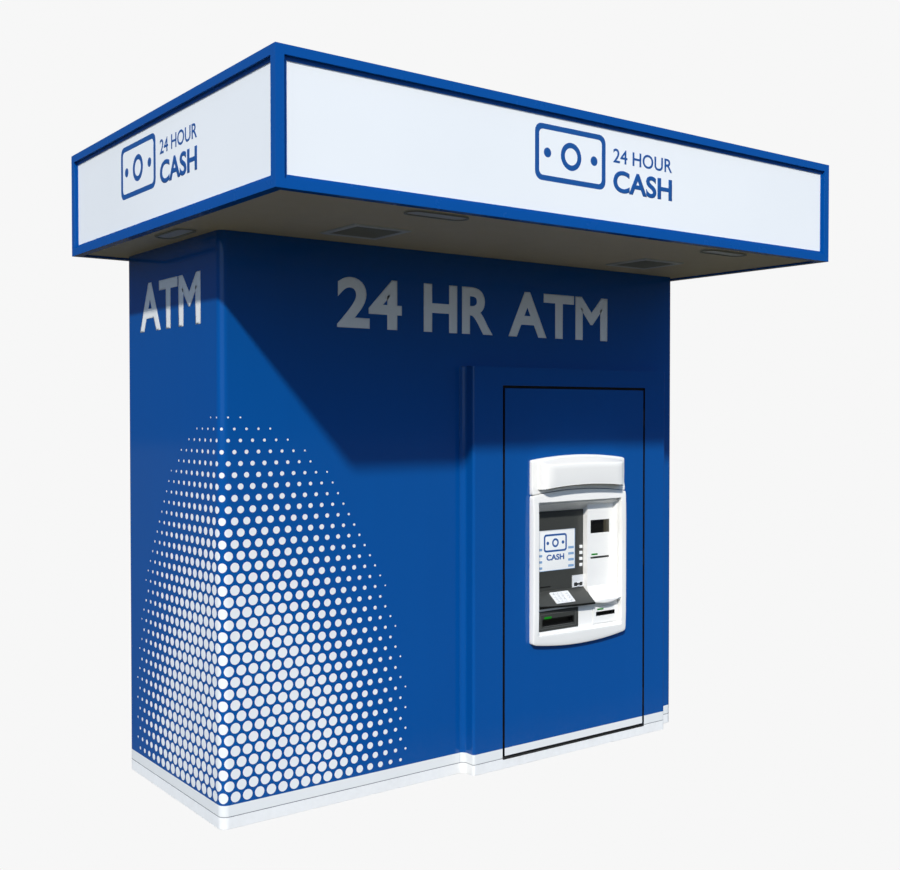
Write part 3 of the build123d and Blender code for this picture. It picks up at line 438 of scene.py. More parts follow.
def painted(
    name, colour, gloss, peel=260.0, reach=0.04, dust=0.0, splash=0.0, ease=1.2, band=False, **constants
):
    """Sprayed paint, with the body's white foot band and, where asked, the black door seam, which is
    painted shade for the gap round the door.
    """
    material, tree, shader, vector = new_finish(name, **constants)
    skin = tree.group(PAINT_SKIN, Vector=vector, Peel=peel)
    edge = tree.group(EDGE_WEAR_AND_SHEEN, Vector=vector, Radius=ease * MM)
    base = toned(tree, colour, skin["Tone"], reach)
    if band:
        height = tree.height_of(vector)
        white = toned(tree, paint_rgb(232, 234, 233), skin["Tone"], 0.03)
        base = tree.mix(tree.step(height, (BAND_TOP - 0.5) * MM, (BAND_TOP + 0.5) * MM), base, white)
        joint = tree.step(height, (BAND_JOINT - 1.0) * MM, (BAND_JOINT + 1.0) * MM)
        base = tree.mix(joint, base, paint_rgb(128, 132, 136))
    # Lighter edges: rubbed wear and a painted highlight.
    lighter = (*(min(1.0, part * 1.35 + 0.01) for part in colour[:3]), 1.0)
    base = tree.mix(tree.math("MULTIPLY", edge["RubAndSheen"], 0.35), base, lighter)
    dirt = tree.group(SETTLED_DIRT, Vector=vector, Dust=dust, Splash=splash)
    base = tree.mix(dirt["Mask"], base, DIRT_COLOUR)
    if band:
        # The black door seam is painted shade for the gap round the door.
        base = tree.mix(tree.group(DOOR_GAP_SHADE, Vector=vector)["Mask"], base, paint_rgb(20, 21, 22))
    tree.feed(shader["Base Color"], base)
    rough = tree.spread(skin["Gloss"], gloss * 0.85, gloss * 1.25)
    dusty = tree.math("MULTIPLY", dirt["Mask"], 0.5)
    tree.feed(shader["Roughness"], tree.math("ADD", rough, dusty, clamp=True))
    tree.feed(shader["Normal"], tree.bump(skin["Height"], 0.00006, edge["Normal"]))
    return material


def moulded(
    name, colour, gloss, grain=900.0, depth=0.00004, reach=0.03, dust=0.0, ease=1.5, **constants
):
    """Moulded plastic or rubber."""
    material, tree, shader, vector = new_finish(name, **constants)
    skin = tree.group(MOULDED_GRAIN, Vector=vector, Grain=grain)
    edge = tree.group(EDGE_WEAR_AND_SHEEN, Vector=vector, Radius=ease * MM)
    base = toned(tree, colour, skin["Tone"], reach)
    # Lighter edges: rubbed wear and a painted highlight.
    lighter = (*(min(1.0, part * 1.2 + 0.012) for part in colour[:3]), 1.0)
    base = tree.mix(tree.math("MULTIPLY", edge["RubAndSheen"], 0.3), base, lighter)
    dirt = tree.group(SETTLED_DIRT, Vector=vector, Dust=dust, Splash=0.0)
    tree.feed(shader["Base Color"], tree.mix(dirt["Mask"], base, DIRT_COLOUR))
    tree.feed(shader["Roughness"], tree.spread(skin["Tone"], gloss * 0.85, gloss * 1.2))
    tree.feed(shader["Normal"], tree.bump(skin["Height"], depth, edge["Normal"]))
    return material


def metal(name, colour, gloss, reach=0.08, depth=0.00003, dust=0.0, ease=0.8, **constants):
    """Brushed or rolled metal, brighter along its edges: rubbed wear and a painted highlight."""
    material, tree, shader, vector = new_finish(name, Metallic=1.0, **constants)
    lines = tree.group(BRUSHED_LINES, Vector=vector)
    edge = tree.group(EDGE_WEAR_AND_SHEEN, Vector=vector, Radius=ease * MM)
    base = toned(tree, colour, lines["Tone"], reach)
    # Brighter edges: rubbed wear and a painted highlight.
    bright = (*(min(1.0, part * 1.3) for part in colour[:3]), 1.0)
    base = tree.mix(tree.math("MULTIPLY", edge["RubAndSheen"], 0.6), base, bright)
    dirt = tree.group(SETTLED_DIRT, Vector=vector, Dust=dust, Splash=0.0)
    tree.feed(shader["Base Color"], tree.mix(dirt["Mask"], base, DIRT_COLOUR))
    tree.feed(shader["Roughness"], tree.spread(lines["Tone"], gloss * 0.8, gloss * 1.25))
    tree.feed(shader["Normal"], tree.bump(lines["Height"], depth, edge["Normal"]))
    return material


def make_spangled_zinc():
    """Galvanised steel with its pattern of zinc crystals."""
    material, tree, shader, vector = new_finish("spangled_zinc", Metallic=1.0)
    crystals = tree.node("TexVoronoi")
    tree.feed(crystals.inputs["Vector"], vector)
    crystals.inputs["Scale"].default_value = 55.0
    shade = tree.node("RGBToBW")
    tree.feed(shade.inputs[0], crystals.outputs["Color"])
    base = tree.mix(shade.outputs[0], paint_rgb(150, 154, 158), paint_rgb(196, 200, 203))
    tree.feed(shader["Base Color"], base)
    tree.feed(shader["Roughness"], tree.spread(shade.outputs[0], 0.3, 0.5))
    edge = tree.group(EDGE_WEAR_AND_SHEEN, Vector=vector, Radius=1.0 * MM)
    tree.feed(shader["Normal"], tree.bump(shade.outputs[0], 0.00003, edge["Normal"]))
    return material


def make_roof_membrane():
    """A pale roof coating with rolled texture, laps, and dirt where water stands."""
    material, tree, shader, vector = new_finish("roof_membrane")
    rolled = tree.noise(vector, 190.0, 3.0)
    pools = tree.noise(vector, 1.6, 5.0)
    laps = tree.node("TexWave", bands_direction="X", wave_profile="SAW")
    tree.feed(laps.inputs["Vector"], vector)
    laps.inputs["Scale"].default_value = 0.32
    seam = tree.step(laps.outputs["Fac"], 0.0, 0.03)
    base = tree.mix(tree.spread(pools, -0.4, 1.3), paint_rgb(176, 177, 174), paint_rgb(128, 126, 119))
    tree.feed(shader["Base Color"], tree.mix(tree.math("MULTIPLY", seam, 0.5), base, paint_rgb(84, 84, 82)))
    tree.feed(shader["Roughness"], tree.spread(rolled, 0.65, 0.9))
    height = tree.math("ADD", rolled, seam)
    tree.feed(shader["Normal"], tree.bump(height, 0.0012))
    return material


def make_sign_acrylic():
    """White translucent acrylic, with the faint drift of tone of a large sheet and a faint glow that is
    painted light, brightening its white.
    """
    # A faint glow brightens the sign as painted light.
    material, tree, shader, vector = new_finish("sign_acrylic", IOR=1.49, Emission_Strength=0.05)
    cloud = tree.noise(vector, 1.1, 4.0)
    fine = tree.noise(vector, 420.0, 1.0)
    base = tree.mix(cloud, paint_rgb(230, 233, 234), paint_rgb(239, 241, 241))
    dirt = tree.group(SETTLED_DIRT, Vector=vector, Dust=0.3, Splash=0.0)
    tree.feed(shader["Base Color"], tree.mix(dirt["Mask"], base, DIRT_COLOUR))
    tree.feed(shader["Emission Color"], base)
    tree.feed(shader["Roughness"], tree.spread(cloud, 0.28, 0.38))
    tree.feed(shader["Normal"], tree.bump(fine, 0.00002))
    return material


def make_screen_glass():
    """A lit screen behind glass, with a fine grid of cells."""
    material, tree, shader, vector = new_finish(
        "screen_picture", Roughness=0.1, IOR=1.5, Emission_Strength=0.5
    )
    cells = tree.node("TexVoronoi", distance="CHEBYCHEV")
    tree.feed(cells.inputs["Vector"], tree.mapping(vector, (1.0, 0.0, 1.0)))
    cells.inputs["Scale"].default_value = 1800.0
    cells.inputs["Randomness"].default_value = 0.0
    glow = tree.noise(vector, 6.0, 2.0)
    pale = tree.mix(glow, paint_rgb(232, 235, 236), paint_rgb(240, 242, 242))
    picture = tree.mix(tree.step(cells.outputs["Distance"], 0.35, 0.5), paint_rgb(222, 226, 228), pale)
    tree.feed(shader["Base Color"], tree.mix(0.45, picture, paint_rgb(0, 0, 0)))
    tree.feed(shader["Emission Color"], picture)
    return material


def make_lamp_lens():
    """A green status lamp, brighter in the middle of its prisms."""
    material, tree, shader, vector = new_finish("green_lamp", Roughness=0.5, Emission_Strength=0.35)
    prisms = tree.node("TexVoronoi")
    tree.feed(prisms.inputs["Vector"], vector)
    prisms.inputs["Scale"].default_value = 420.0
    edges = tree.step(prisms.outputs["Distance"], 0.0, 0.9)
    glow = tree.mix(edges, paint_rgb(0, 92, 0), paint_rgb(0, 138, 2))
    tree.feed(shader["Base Color"], glow)
    tree.feed(shader["Emission Color"], glow)
    return material


def make_dark_window():
    """Smoked glass, nearly black, with faint smears."""
    material, tree, shader, vector = new_finish("smoked_window", IOR=1.5)
    smear = tree.noise(tree.mapping(vector, (8.0, 8.0, 40.0)), 1.0, 5.0)
    tree.feed(shader["Base Color"], tree.mix(smear, paint_rgb(8, 9, 10), paint_rgb(16, 17, 18)))
    tree.feed(shader["Roughness"], tree.spread(smear, 0.05, 0.16))
    return material


def make_film(name, dark, light, gloss=0.35):
    """Cut vinyl film: even, with a soft drift of tone and a fine surface."""
    material, tree, shader, vector = new_finish(name)
    cloud = tree.noise(vector, 3.0, 4.0)
    fine = tree.noise(vector, 700.0, 1.0)
    tree.feed(shader["Base Color"], tree.mix(cloud, dark, light))
    tree.feed(shader["Roughness"], tree.spread(cloud, gloss * 0.9, gloss * 1.15))
    tree.feed(shader["Normal"], tree.bump(fine, 0.00001))
    return material


WALL_BLUE = paint_rgb(3, 77, 149)
FRAME_BLUE = paint_rgb(2, 79, 156)
FASCIA_WHITE = paint_rgb(241, 240, 236)

FINISHES = {
    "blue_paint": painted(
        "wall_blue_gloss", WALL_BLUE, 0.08, splash=0.1, band=True, IOR=1.45, Specular_IOR_Level=0.5
    ),
    "frame_blue": painted("frame_blue_gloss", FRAME_BLUE, 0.25, Specular_IOR_Level=0.2),
    "white_paint": painted(
        "plinth_white", paint_rgb(245, 246, 245), 0.4, splash=0.35, peel=120.0, ease=2.0
    ),
    "soffit_paint": painted("soffit_cream", paint_rgb(202, 188, 158), 0.6, reach=0.05, ease=0.5),
    "roof_coating": make_roof_membrane(),
    "sign_white": make_sign_acrylic(),
    "light_housing": painted("lamp_housing_white", paint_rgb(200, 201, 198), 0.35, ease=0.8),
    "seal_rubber": moulded(
        "seal_rubber", paint_rgb(26, 27, 29), 0.75, grain=500.0, depth=0.00012, ease=2.0
    ),
    "galvanised_steel": make_spangled_zinc(),
    "fascia_white": moulded("fascia_white", FASCIA_WHITE, 0.3, dust=0.06, ease=2.0, Coat_Weight=0.15),
    "panel_black": moulded("panel_charcoal", paint_rgb(58, 60, 58), 0.42, dust=0.03, ease=1.5),
    "screen_glass": make_dark_window(),
    "key_white": moulded("key_white", paint_rgb(240, 241, 240), 0.3, ease=1.2),
    "key_steel": painted(
        "key_satin", paint_rgb(232, 233, 233), 0.4, peel=500.0, ease=0.8, Metallic=0.2
    ),
    "keypad_steel": painted(
        "keypad_satin", paint_rgb(240, 241, 241), 0.45, peel=500.0, ease=0.8, Metallic=0.2
    ),
    "reader_silver": moulded("reader_silver", paint_rgb(222, 224, 226), 0.26, ease=1.5, Coat_Weight=0.3),
    "shutter_black": moulded("shutter_black", paint_rgb(10, 10, 11), 0.3, ease=0.8),
    "safe_paint": painted("safe_grey", paint_rgb(118, 124, 128), 0.5, peel=90.0, reach=0.06, ease=1.5),
    "lever_chrome": metal("lever_chrome", paint_rgb(214, 216, 218), 0.16, reach=0.04, ease=2.5),
    "cassette_plastic": moulded("cassette_grey", paint_rgb(74, 82, 92), 0.5, grain=600.0, ease=2.5),
    "sheet_steel": metal("sheet_steel", paint_rgb(176, 180, 184), 0.4, reach=0.12, ease=0.6),
}
SCREEN_PICTURE = make_screen_glass()
GREEN_LAMP = make_lamp_lens()
WHITE_FILM = make_film("white_film", paint_rgb(226, 228, 228), paint_rgb(234, 236, 236))
BLUE_FILM = make_film("blue_film", paint_rgb(14, 78, 148), paint_rgb(20, 86, 158))
PALE_BLUE_FILM = make_film("pale_blue_film", paint_rgb(120, 158, 198), paint_rgb(134, 170, 208))
# Black print; also used as painted shade inside slots and the card reader's mouth.
BLACK_FILM = make_film("black_film", paint_rgb(8, 9, 9), paint_rgb(15, 16, 16))
KEY_MARK_GREY = make_film("key_mark_grey", paint_rgb(150, 152, 154), paint_rgb(166, 168, 170))
GREY_TRIM = moulded("grey_trim", paint_rgb(92, 93, 92), 0.4, ease=0.6)
# Painted shade: the shaded side wall of the camera recess, as a flat strip.
RECESS_WALL_SHADE = make_film("recess_wall_shade", paint_rgb(56, 52, 42), paint_rgb(70, 66, 54), gloss=0.2)
LOUVRE_GREY = painted("louvre_grey", paint_rgb(138, 136, 122), 0.5, ease=0.5)
# Painted shade: the dark olive line under the visor's lower edge.
VISOR_EDGE_SHADE = moulded("visor_edge_shade", paint_rgb(62, 60, 48), 0.5, ease=0.5)


def finish_cad_nodes():
    """Each CAD node takes the finish of its slot."""
    for node in nodes.values():
        for held in node.material_slots:
            held.material = FINISHES[held.material.name.split(".")[0]]


# ---- making pieces ----
def keep_mesh(name, mesh, body, material, replaced=()):
    """Put a finished mesh in the scene, riding on a body."""
    piece = bpy.data.objects.new(name, mesh)
    mesh.name = name
    bpy.context.scene.collection.objects.link(piece)
    mesh.materials.clear()
    mesh.materials.append(material)
    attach(piece, body)
    if replaced:
        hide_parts(*replaced)
    return piece


def keep(name, work, body, material, replaced=(), sharp=32.0):
    """Turn a bmesh into a piece, smooth except across edges sharper than an angle."""
    mesh = bpy.data.meshes.new(name)
    work.to_mesh(mesh)
    work.free()
    mesh.shade_smooth()
    mesh.set_sharp_from_angle(angle=radians(sharp))
    return keep_mesh(name, mesh, body, material, replaced)


def add_block(work, x, y, z, ease=1.0, steps=3):
    """A block between (low, high) pairs with eased edges."""
    made = bmesh.ops.create_cube(work, size=1.0)["verts"]
    low, high = (spot(x[i], y[i], z[i]) for i in (0, 1))
    for vert in made:
        vert.co = Vector((between((a, b), share + 0.5) for a, b, share in zip(low, high, vert.co)))
    edges = list({edge for vert in made for edge in vert.link_edges})
    bmesh.ops.bevel(
        work, geom=edges, offset=ease * MM, offset_type="OFFSET", segments=steps, profile=0.5,
        affect="EDGES", material=-1, clamp_overlap=True,
    )


def add_sheet(work, across, along, place):
    """A grid of cells; place(i, j) says where each corner goes, and ends that meet are welded."""
    made = bmesh.ops.create_grid(work, x_segments=across, y_segments=along, size=0.5)["verts"]
    for vert in made:
        i = round((vert.co.x + 0.5) * across)
        j = round((vert.co.y + 0.5) * along)
        vert.co = place(i, j)
    bmesh.ops.remove_doubles(work, verts=made, dist=0.00001)


def close_up(work):
    """Fill the open ends and turn every face outwards."""
    open_edges = [edge for edge in work.edges if edge.is_boundary]
    if open_edges:
        bmesh.ops.holes_fill(work, edges=open_edges, sides=0)
    bmesh.ops.recalc_face_normals(work, faces=work.faces[:])


def add_slab_ring(work, x, z, wide, y, ease):
    """A flat rectangular ring lying against the front, from four eased bars."""
    add_block(work, x, y, (z[0], z[0] + wide), ease)
    add_block(work, x, y, (z[1] - wide, z[1]), ease)
    add_block(work, (x[0], x[0] + wide), y, (z[0] + wide, z[1] - wide), ease)
    add_block(work, (x[1] - wide, x[1]), y, (z[0] + wide, z[1] - wide), ease)


# ---- flat graphics ----
class Face:
    """A flat place for graphics: its lower left corner, the way to the right, and the way out."""

    def __init__(self, origin, right, out, up=Vector((0, 0, 1))):
        self.origin, self.right, self.out, self.up = origin, right, out, up

    def at(self, u, v, lift):
        return self.origin + (self.right * u + self.up * v + self.out * lift) * MM


FRONT = Vector((0, -1, 0))
RIGHT = Vector((1, 0, 0))
LEFT_OUT = Vector((-1, 0, 0))
LEFT_RIGHT = Vector((0, -1, 0))


def curve_mesh(curve):
    """The filled, slightly thick mesh of a flat curve."""
    holder = bpy.data.objects.new("cutting", curve)
    bpy.context.scene.collection.objects.link(holder)
    bpy.context.view_layer.update()
    mesh = bpy.data.meshes.new_from_object(holder.evaluated_get(bpy.context.evaluated_depsgraph_get()))
    bpy.data.objects.remove(holder)
    return mesh


def lay_on(mesh, face, film=FILM):
    """Move a flat mesh drawn in millimetres onto a face, as a film."""
    raised = [vert.co.z > 0 for vert in mesh.vertices]
    for vert, up in zip(mesh.vertices, raised):
        vert.co = face.at(vert.co.x, vert.co.y, film if up else 0.0)
    mesh.update()
    for polygon in mesh.polygons:
        facing = polygon.normal.dot(face.out)
        if abs(facing) > 0.9 and (facing > 0) != all(raised[number] for number in polygon.vertices):
            polygon.flip()


def words_mesh(words, width, height, weight=0.016):
    """Lettering stretched to a width and a cap height, in millimetres."""
    curve = bpy.data.curves.new("words", "FONT")
    curve.body = words
    curve.extrude = 0.01
    curve.bevel_depth = weight
    curve.bevel_resolution = 0
    curve.resolution_u = 6
    mesh = curve_mesh(curve)
    xs = [vert.co.x for vert in mesh.vertices]
    ys = [vert.co.y for vert in mesh.vertices]
    for vert in mesh.vertices:
        vert.co.x = (vert.co.x - min(xs)) * width / (max(xs) - min(xs))
        vert.co.y = (vert.co.y - min(ys)) * height / (max(ys) - min(ys))
    return mesh


def rounded_loop(x, z, radius, steps=5):
    """Points round a rectangle with rounded corners, in the face's own millimetres."""
    corners = (
        (x[1] - radius, z[1] - radius, 0),
        (x[0] + radius, z[1] - radius, 1),
        (x[0] + radius, z[0] + radius, 2),
        (x[1] - radius, z[0] + radius, 3),
    )
    points = []
    for cx, cz, turn in corners:
        for i in range(steps + 1):
            angle = (turn + i / steps) * pi / 2
            points.append((cx + radius * cos(angle), cz + radius * sin(angle)))
    return points


def round_loop(cx, cz, radius, steps=28):
    """Points round a circle."""
    turns = [2 * pi * i / steps for i in range(steps)]
    return [(cx + radius * cos(turn), cz + radius * sin(turn)) for turn in turns]


def shapes_mesh(loops):
    """Flat shapes from closed loops; a loop inside another makes a hole."""
    curve = bpy.data.curves.new("shapes", "CURVE")
    curve.dimensions = "2D"
    curve.fill_mode = "BOTH"
    curve.extrude = 0.01
    for loop in loops:
        spline = curve.splines.new("POLY")
        spline.points.add(len(loop) - 1)
        for point, (u, v) in zip(spline.points, loop):
            point.co = (u, v, 0.0, 1.0)
        spline.use_cyclic_u = True
    return curve_mesh(curve)


def place_words(name, words, face, width, height, body, material, weight=0.016, film=FILM):
    """Cut words laid on a face as their own piece."""
    mesh = words_mesh(words, width, height, weight)
    lay_on(mesh, face, film)
    return keep_mesh(name, mesh, body, material)


def place_shapes(name, loops, face, body, material, film=FILM):
    """Cut shapes laid on a face as their own piece."""
    mesh = shapes_mesh(loops)
    lay_on(mesh, face, film)
    return keep_mesh(name, mesh, body, material)


def make_wall_words():
    """The white words on the front and on the left wall."""
    tall = WORDS_Z[1] - WORDS_Z[0]
    for number, (words, x) in enumerate(FRONT_WORDS, 1):
        face = Face(spot(x[0], 0, WORDS_Z[0]), RIGHT, FRONT)
        name = f"front_words_{number}"
        place_words(name, words, face, x[1] - x[0], tall, "kiosk", WHITE_FILM, WORDS_WEIGHT)
    side = Face(spot(0, SIDE_WORDS_Y[0], WORDS_Z[0]), LEFT_RIGHT, LEFT_OUT)
    wide = SIDE_WORDS_Y[0] - SIDE_WORDS_Y[1]
    place_words("side_words", "ATM", side, wide, tall, "kiosk", WHITE_FILM, WORDS_WEIGHT)


def banknote_loops(x, z, line):
    """A banknote sign: a frame, a ring in the middle and two small discs."""
    cx, cz = middle_of(x), middle_of(z)
    inner_x, inner_z = (x[0] + line, x[1] - line), (z[0] + line, z[1] - line)
    radius = (z[1] - z[0]) * 0.25
    aside = (x[1] - x[0]) * 0.33
    return [
        rounded_loop(x, z, line * 1.6),
        rounded_loop(inner_x, inner_z, line * 0.9),
        round_loop(cx, cz, radius),
        round_loop(cx, cz, radius - line),
        round_loop(cx - aside, cz, line * 0.9),
        round_loop(cx + aside, cz, line * 0.9),
    ]


def make_sign_marks():
    """A banknote sign and two short lines of words on the front and left sign faces."""
    faces = (
        ("front", Face(spot(SIGN_MARK_AT[0], SIGN_FRONT_Y, SIGN_MARK_Z), RIGHT, FRONT)),
        ("left", Face(spot(SIGN_LEFT_X, SIGN_MARK_AT[1], SIGN_MARK_Z), LEFT_RIGHT, LEFT_OUT)),
    )
    lines = (("hours", "24 HOUR", SIGN_HOURS, 0.012), ("cash", "CASH", SIGN_CASH, 0.03))
    for side, face in faces:
        loops = banknote_loops(NOTE_WIDE, NOTE_TALL, NOTE_LINE)
        place_shapes(side + "_sign_note", loops, face, "kiosk", BLUE_FILM)
        for part, words, (up, tall), weight in lines:
            line = Face(face.at(SIGN_WORDS_FROM, up, 0), face.right, face.out)
            name = f"{side}_sign_{part}"
            place_words(
                name, words, line, SIGN_WORDS_WIDE, tall, "kiosk", BLUE_FILM, weight
            )


def wrap_corner(u, lift, z):
    """A place on the walls from its distance along them, measured from the rounded corner's middle."""
    quarter = CORNER_R * pi / 4
    if u > quarter:
        return spot(CORNER_R + u - quarter, -lift, z)
    if u < -quarter:
        return spot(-lift, CORNER_R - u - quarter, z)
    angle = pi / 4 + u / CORNER_R
    reach = CORNER_R + lift
    return spot(CORNER_R - reach * cos(angle), CORNER_R - reach * sin(angle), z)


def dot_radius(u, z):
    """The dots grow towards the corner's foot and fade out along a dome."""
    wide, tall = DOT_FIELD
    share = 1 - (u / wide) ** 2 - ((z - BAND_TOP) / tall) ** 2
    return DOT_PITCH * DOT_LARGEST * min(1.0, 1.25 * max(0.0, share) ** 0.75)


def make_corner_dots():
    """A field of white dots that bends round the front left corner."""
    work = bmesh.new()
    row_gap = DOT_PITCH * 0.866
    rows = int(DOT_FIELD[1] / row_gap)
    half = int(DOT_FIELD[0] / DOT_PITCH) + 1
    for row in range(rows):
        z = BAND_TOP + DOT_PITCH * 0.55 + row * row_gap
        for column in range(-half, half + 1):
            u = (column + 0.5 * (row % 2)) * DOT_PITCH
            radius = dot_radius(u, z)
            if radius < 4.0:
                continue
            made = bmesh.ops.create_circle(work, cap_ends=True, segments=20, radius=radius)["verts"]
            bmesh.ops.translate(work, verts=made, vec=(u, z, 0.0))
    quarter = CORNER_R * pi / 4
    for i in range(9):
        cut = -quarter + i * quarter / 4
        geometry = work.verts[:] + work.edges[:] + work.faces[:]
        bmesh.ops.bisect_plane(work, geom=geometry, plane_co=(cut, 0, 0), plane_no=(1, 0, 0))
    top = bmesh.ops.extrude_face_region(work, geom=work.faces[:])["geom"]
    for vert in (item for item in top if isinstance(item, bmesh.types.BMVert)):
        vert.co.z = FILM
    for vert in work.verts:
        vert.co = wrap_corner(vert.co.x, vert.co.z, vert.co.y)
    bmesh.ops.recalc_face_normals(work, faces=work.faces[:])
    keep("corner_dots", work, "kiosk", WHITE_FILM, sharp=20.0)


# ---- canopy ----
def make_ceiling_lamps():
    """Grilles and rims under the ceiling lamps."""
    grille, rims = bmesh.new(), bmesh.new()
    low = LAMP_FACE_Z - 4.0
    for cx, cy in CEILING_LAMPS:
        x, y = (cx - 125, cx + 125), (cy - 125, cy + 125)
        for side in (-1, 1):
            edge = (cx + side * 139 - 14, cx + side * 139 + 14)
            add_block(rims, edge, (cy - 153, cy + 153), (low, LAMP_FACE_Z), 1.5)
            edge = (cy + side * 139 - 14, cy + side * 139 + 14)
            add_block(rims, x, edge, (low, LAMP_FACE_Z), 1.5)
        for i in range(12):
            at = y[0] + (i + 0.5) * 250 / 12
            add_block(grille, x, (at - 6, at + 6), (low + 1.5, LAMP_FACE_Z), 0.8, 2)
    keep("ceiling_lamp_grilles", grille, "kiosk", LOUVRE_GREY)
    keep("ceiling_lamp_rims", rims, "kiosk", FINISHES["light_housing"])


def stadium_loop(length, wide, turned, steps=10):
    """Points round a slot shape."""
    radius, half = wide / 2, (length - wide) / 2
    points = []
    for side in (1, -1):
        for i in range(steps + 1):
            angle = (i / steps - 0.5) * pi
            points.append((side * (half + radius * cos(angle)), side * radius * sin(angle)))
    return [(-v, u) for u, v in points] if turned else points


def make_oval_lamps():
    """Raised rims round the oval lamps."""
    ceiling_up = Vector((0, 1, 0))
    for number, (cx, cy, turned) in enumerate(OVAL_LAMPS, 1):
        loops = [stadium_loop(322, 102, turned), stadium_loop(300, 80, turned)]
        face = Face(spot(cx, cy, LAMP_FACE_Z), RIGHT, Vector((0, 0, -1)), ceiling_up)
        mesh = shapes_mesh(loops)
        lay_on(mesh, face, 4.0)
        flip_faces(mesh)
        keep_mesh(f"oval_lamp_rim_{number}", mesh, "kiosk", LOUVRE_GREY)


def flip_faces(mesh):
    """Turn a mesh's faces the right way after it was laid on a ceiling."""
    work = bmesh.new()
    work.from_mesh(mesh)
    bmesh.ops.remove_doubles(work, verts=work.verts[:], dist=0.00001)
    bmesh.ops.recalc_face_normals(work, faces=work.faces[:])
    work.to_mesh(mesh)
    work.free()


# ---- fascia ----
def eased_share(i, count):
    """Shares from 0 to 1 that crowd towards both ends."""
    return (1 - cos(pi * i / count)) / 2


def outline_point(side, share, x, low, high, radius):
    """A point on a four-sided outline with arched lower and upper edges and rounded corners."""
    if side == 0:
        px, pz = between(x, share), arch(low, share)
    elif side == 1:
        px, pz = x[1], between((low[0], high[0]), share)
    elif side == 2:
        px, pz = between(x, 1 - share), arch(high, share)
    else:
        px, pz = x[0], between((high[0], low[0]), share)
    cx = min(max(px, x[0] + radius), x[1] - radius)
    cz = min(max(pz, low[0] + radius), high[0] - radius)
    if abs(px - cx) > 1e-6 and abs(pz - cz) > 1e-6:
        away = Vector((px - cx, pz - cz)).normalized() * radius
        px, pz = cx + away.x, cz + away.y
    return Vector((px, pz))


def crown_depth(z):
    """How far the collar stands off the door at a height."""
    half = (PARTING[1] - COLLAR_BOTTOM[1]) / 2
    from_middle = (z - middle_of((COLLAR_BOTTOM[1], PARTING[1]))) / half
    return COLLAR_EDGE + (CROWN_DEPTH - COLLAR_EDGE) * max(0.0, 1 - from_middle**6)


def collar_section():
    """Steps from the collar's outline to its opening: how far in, and the share of its swell."""
    steps = [(0.0, 0.0)]
    for i in range(1, 8):
        angle = i / 7 * pi / 2
        steps.append((0.4 * (1 - cos(angle)), sin(angle)))
    return steps + [(0.82, 1.0), (0.955, 1.0), (0.99, 0.94), (1.0, 0.8)]


def edge_rise(z):
    """How much of its depth the collar's outer edge has; its top edge is nearly square."""
    share = max(0.0, min(1.0, (z - SQUARE_FROM) / (PARTING[0] - SQUARE_FROM)))
    return between(EDGE_RISE, share)


def make_collar():
    """The white frame round the niche: crowned, rounded outside, with a small inner lip."""
    per_side = 26
    section = collar_section()
    rows = len(section) + 4
    inner_low, inner_high = (OPENING_Z[0],) * 2, (OPENING_Z[1],) * 2

    def place(i, j):
        j %= rows
        side, step = divmod(i % (4 * per_side), per_side)
        share = eased_share(step, per_side)
        outer = outline_point(side, share, COLLAR_X, COLLAR_BOTTOM, PARTING, 13.0)
        inner = outline_point(side, share, OPENING_X, inner_low, inner_high, 3.0)
        if j < len(section):
            inset, swell = section[j]
            at = outer.lerp(inner, inset)
            rise = between((edge_rise(outer.y), 1.0), swell)
            return spot(at.x, DOOR_FACE - rise * crown_depth(at.y), at.y)
        if j == len(section):
            return spot(inner.x, LIP_BACK_Y, inner.y)
        hole_low, hole_high = (CUTOUT_Z[0],) * 2, (CUTOUT_Z[1],) * 2
        hole = outline_point(side, share, CUTOUT_X, hole_low, hole_high, 0.01)
        if j == len(section) + 1:
            return spot(hole.x, LIP_BACK_Y, hole.y)
        if j == len(section) + 2:
            return spot(hole.x, DOOR_FACE, hole.y)
        return spot(outer.x, DOOR_FACE, outer.y)

    work = bmesh.new()
    add_sheet(work, 4 * per_side, rows, place)
    close_up(work)
    white = FINISHES["fascia_white"]
    keep("collar", work, "front_door", white, ("fascia_collar",), sharp=38.0)


def within_one(value):
    """A value kept between -1 and 1."""
    return max(-1.0, min(1.0, value))


def add_hood_plate(work):
    """The border plate behind the visor, with rounded edges and an arched top."""
    per_side = 22
    low = (PARTING[0] + PARTING_GAP, PARTING[1] + PARTING_GAP)
    section = [(0.0, 0.0), (0.0, 12.0), (1.2, 17.0), (4.0, 20.5), (8.0, 22.0)]

    def place(i, j):
        side, step = divmod(i % (4 * per_side), per_side)
        at = outline_point(side, eased_share(step, per_side), COLLAR_X, low, HOOD_TOP, 9.0)
        centre = Vector((middle_of(COLLAR_X), middle_of((low[0], HOOD_TOP[0]))))
        inset, depth = section[j]
        inset *= between((0.15, 1.0), max(0.0, min(1.0, (at.y - arch(low, 0.5)) / 25)))
        towards = Vector((within_one((centre.x - at.x) / 60), within_one((centre.y - at.y) / 40)))
        at = at + towards * inset
        return spot(at.x, DOOR_FACE - depth, at.y)

    add_sheet(work, 4 * per_side, len(section) - 1, place)


VISOR_STATIONS = (
    0.0, 0.0, 0.5, 1.5, 3.5, 7.0, 11.0, 15.0, 20.0, 28.0, 45.0, 80.0, 130.0, 190.0, 250.0
)


def visor_station(i):
    """How far from the visor's left end a station lies; stations crowd towards both ends."""
    count = len(VISOR_STATIONS)
    width = VISOR_X[1] - VISOR_X[0]
    if i < count:
        return VISOR_STATIONS[i]
    if i == count:
        return width / 2
    return width - VISOR_STATIONS[2 * count - i]


def side_reach(inset):
    """How far the visor may stand out near its ends, where its corners are tapered and rounded."""
    share = min(1.0, max(0.0, inset) / VISOR_END)
    return between((EDGE_DEPTH, VISOR_DEPTH[1] + 0.5), (1 - (1 - share) ** 2.2) ** 0.5)


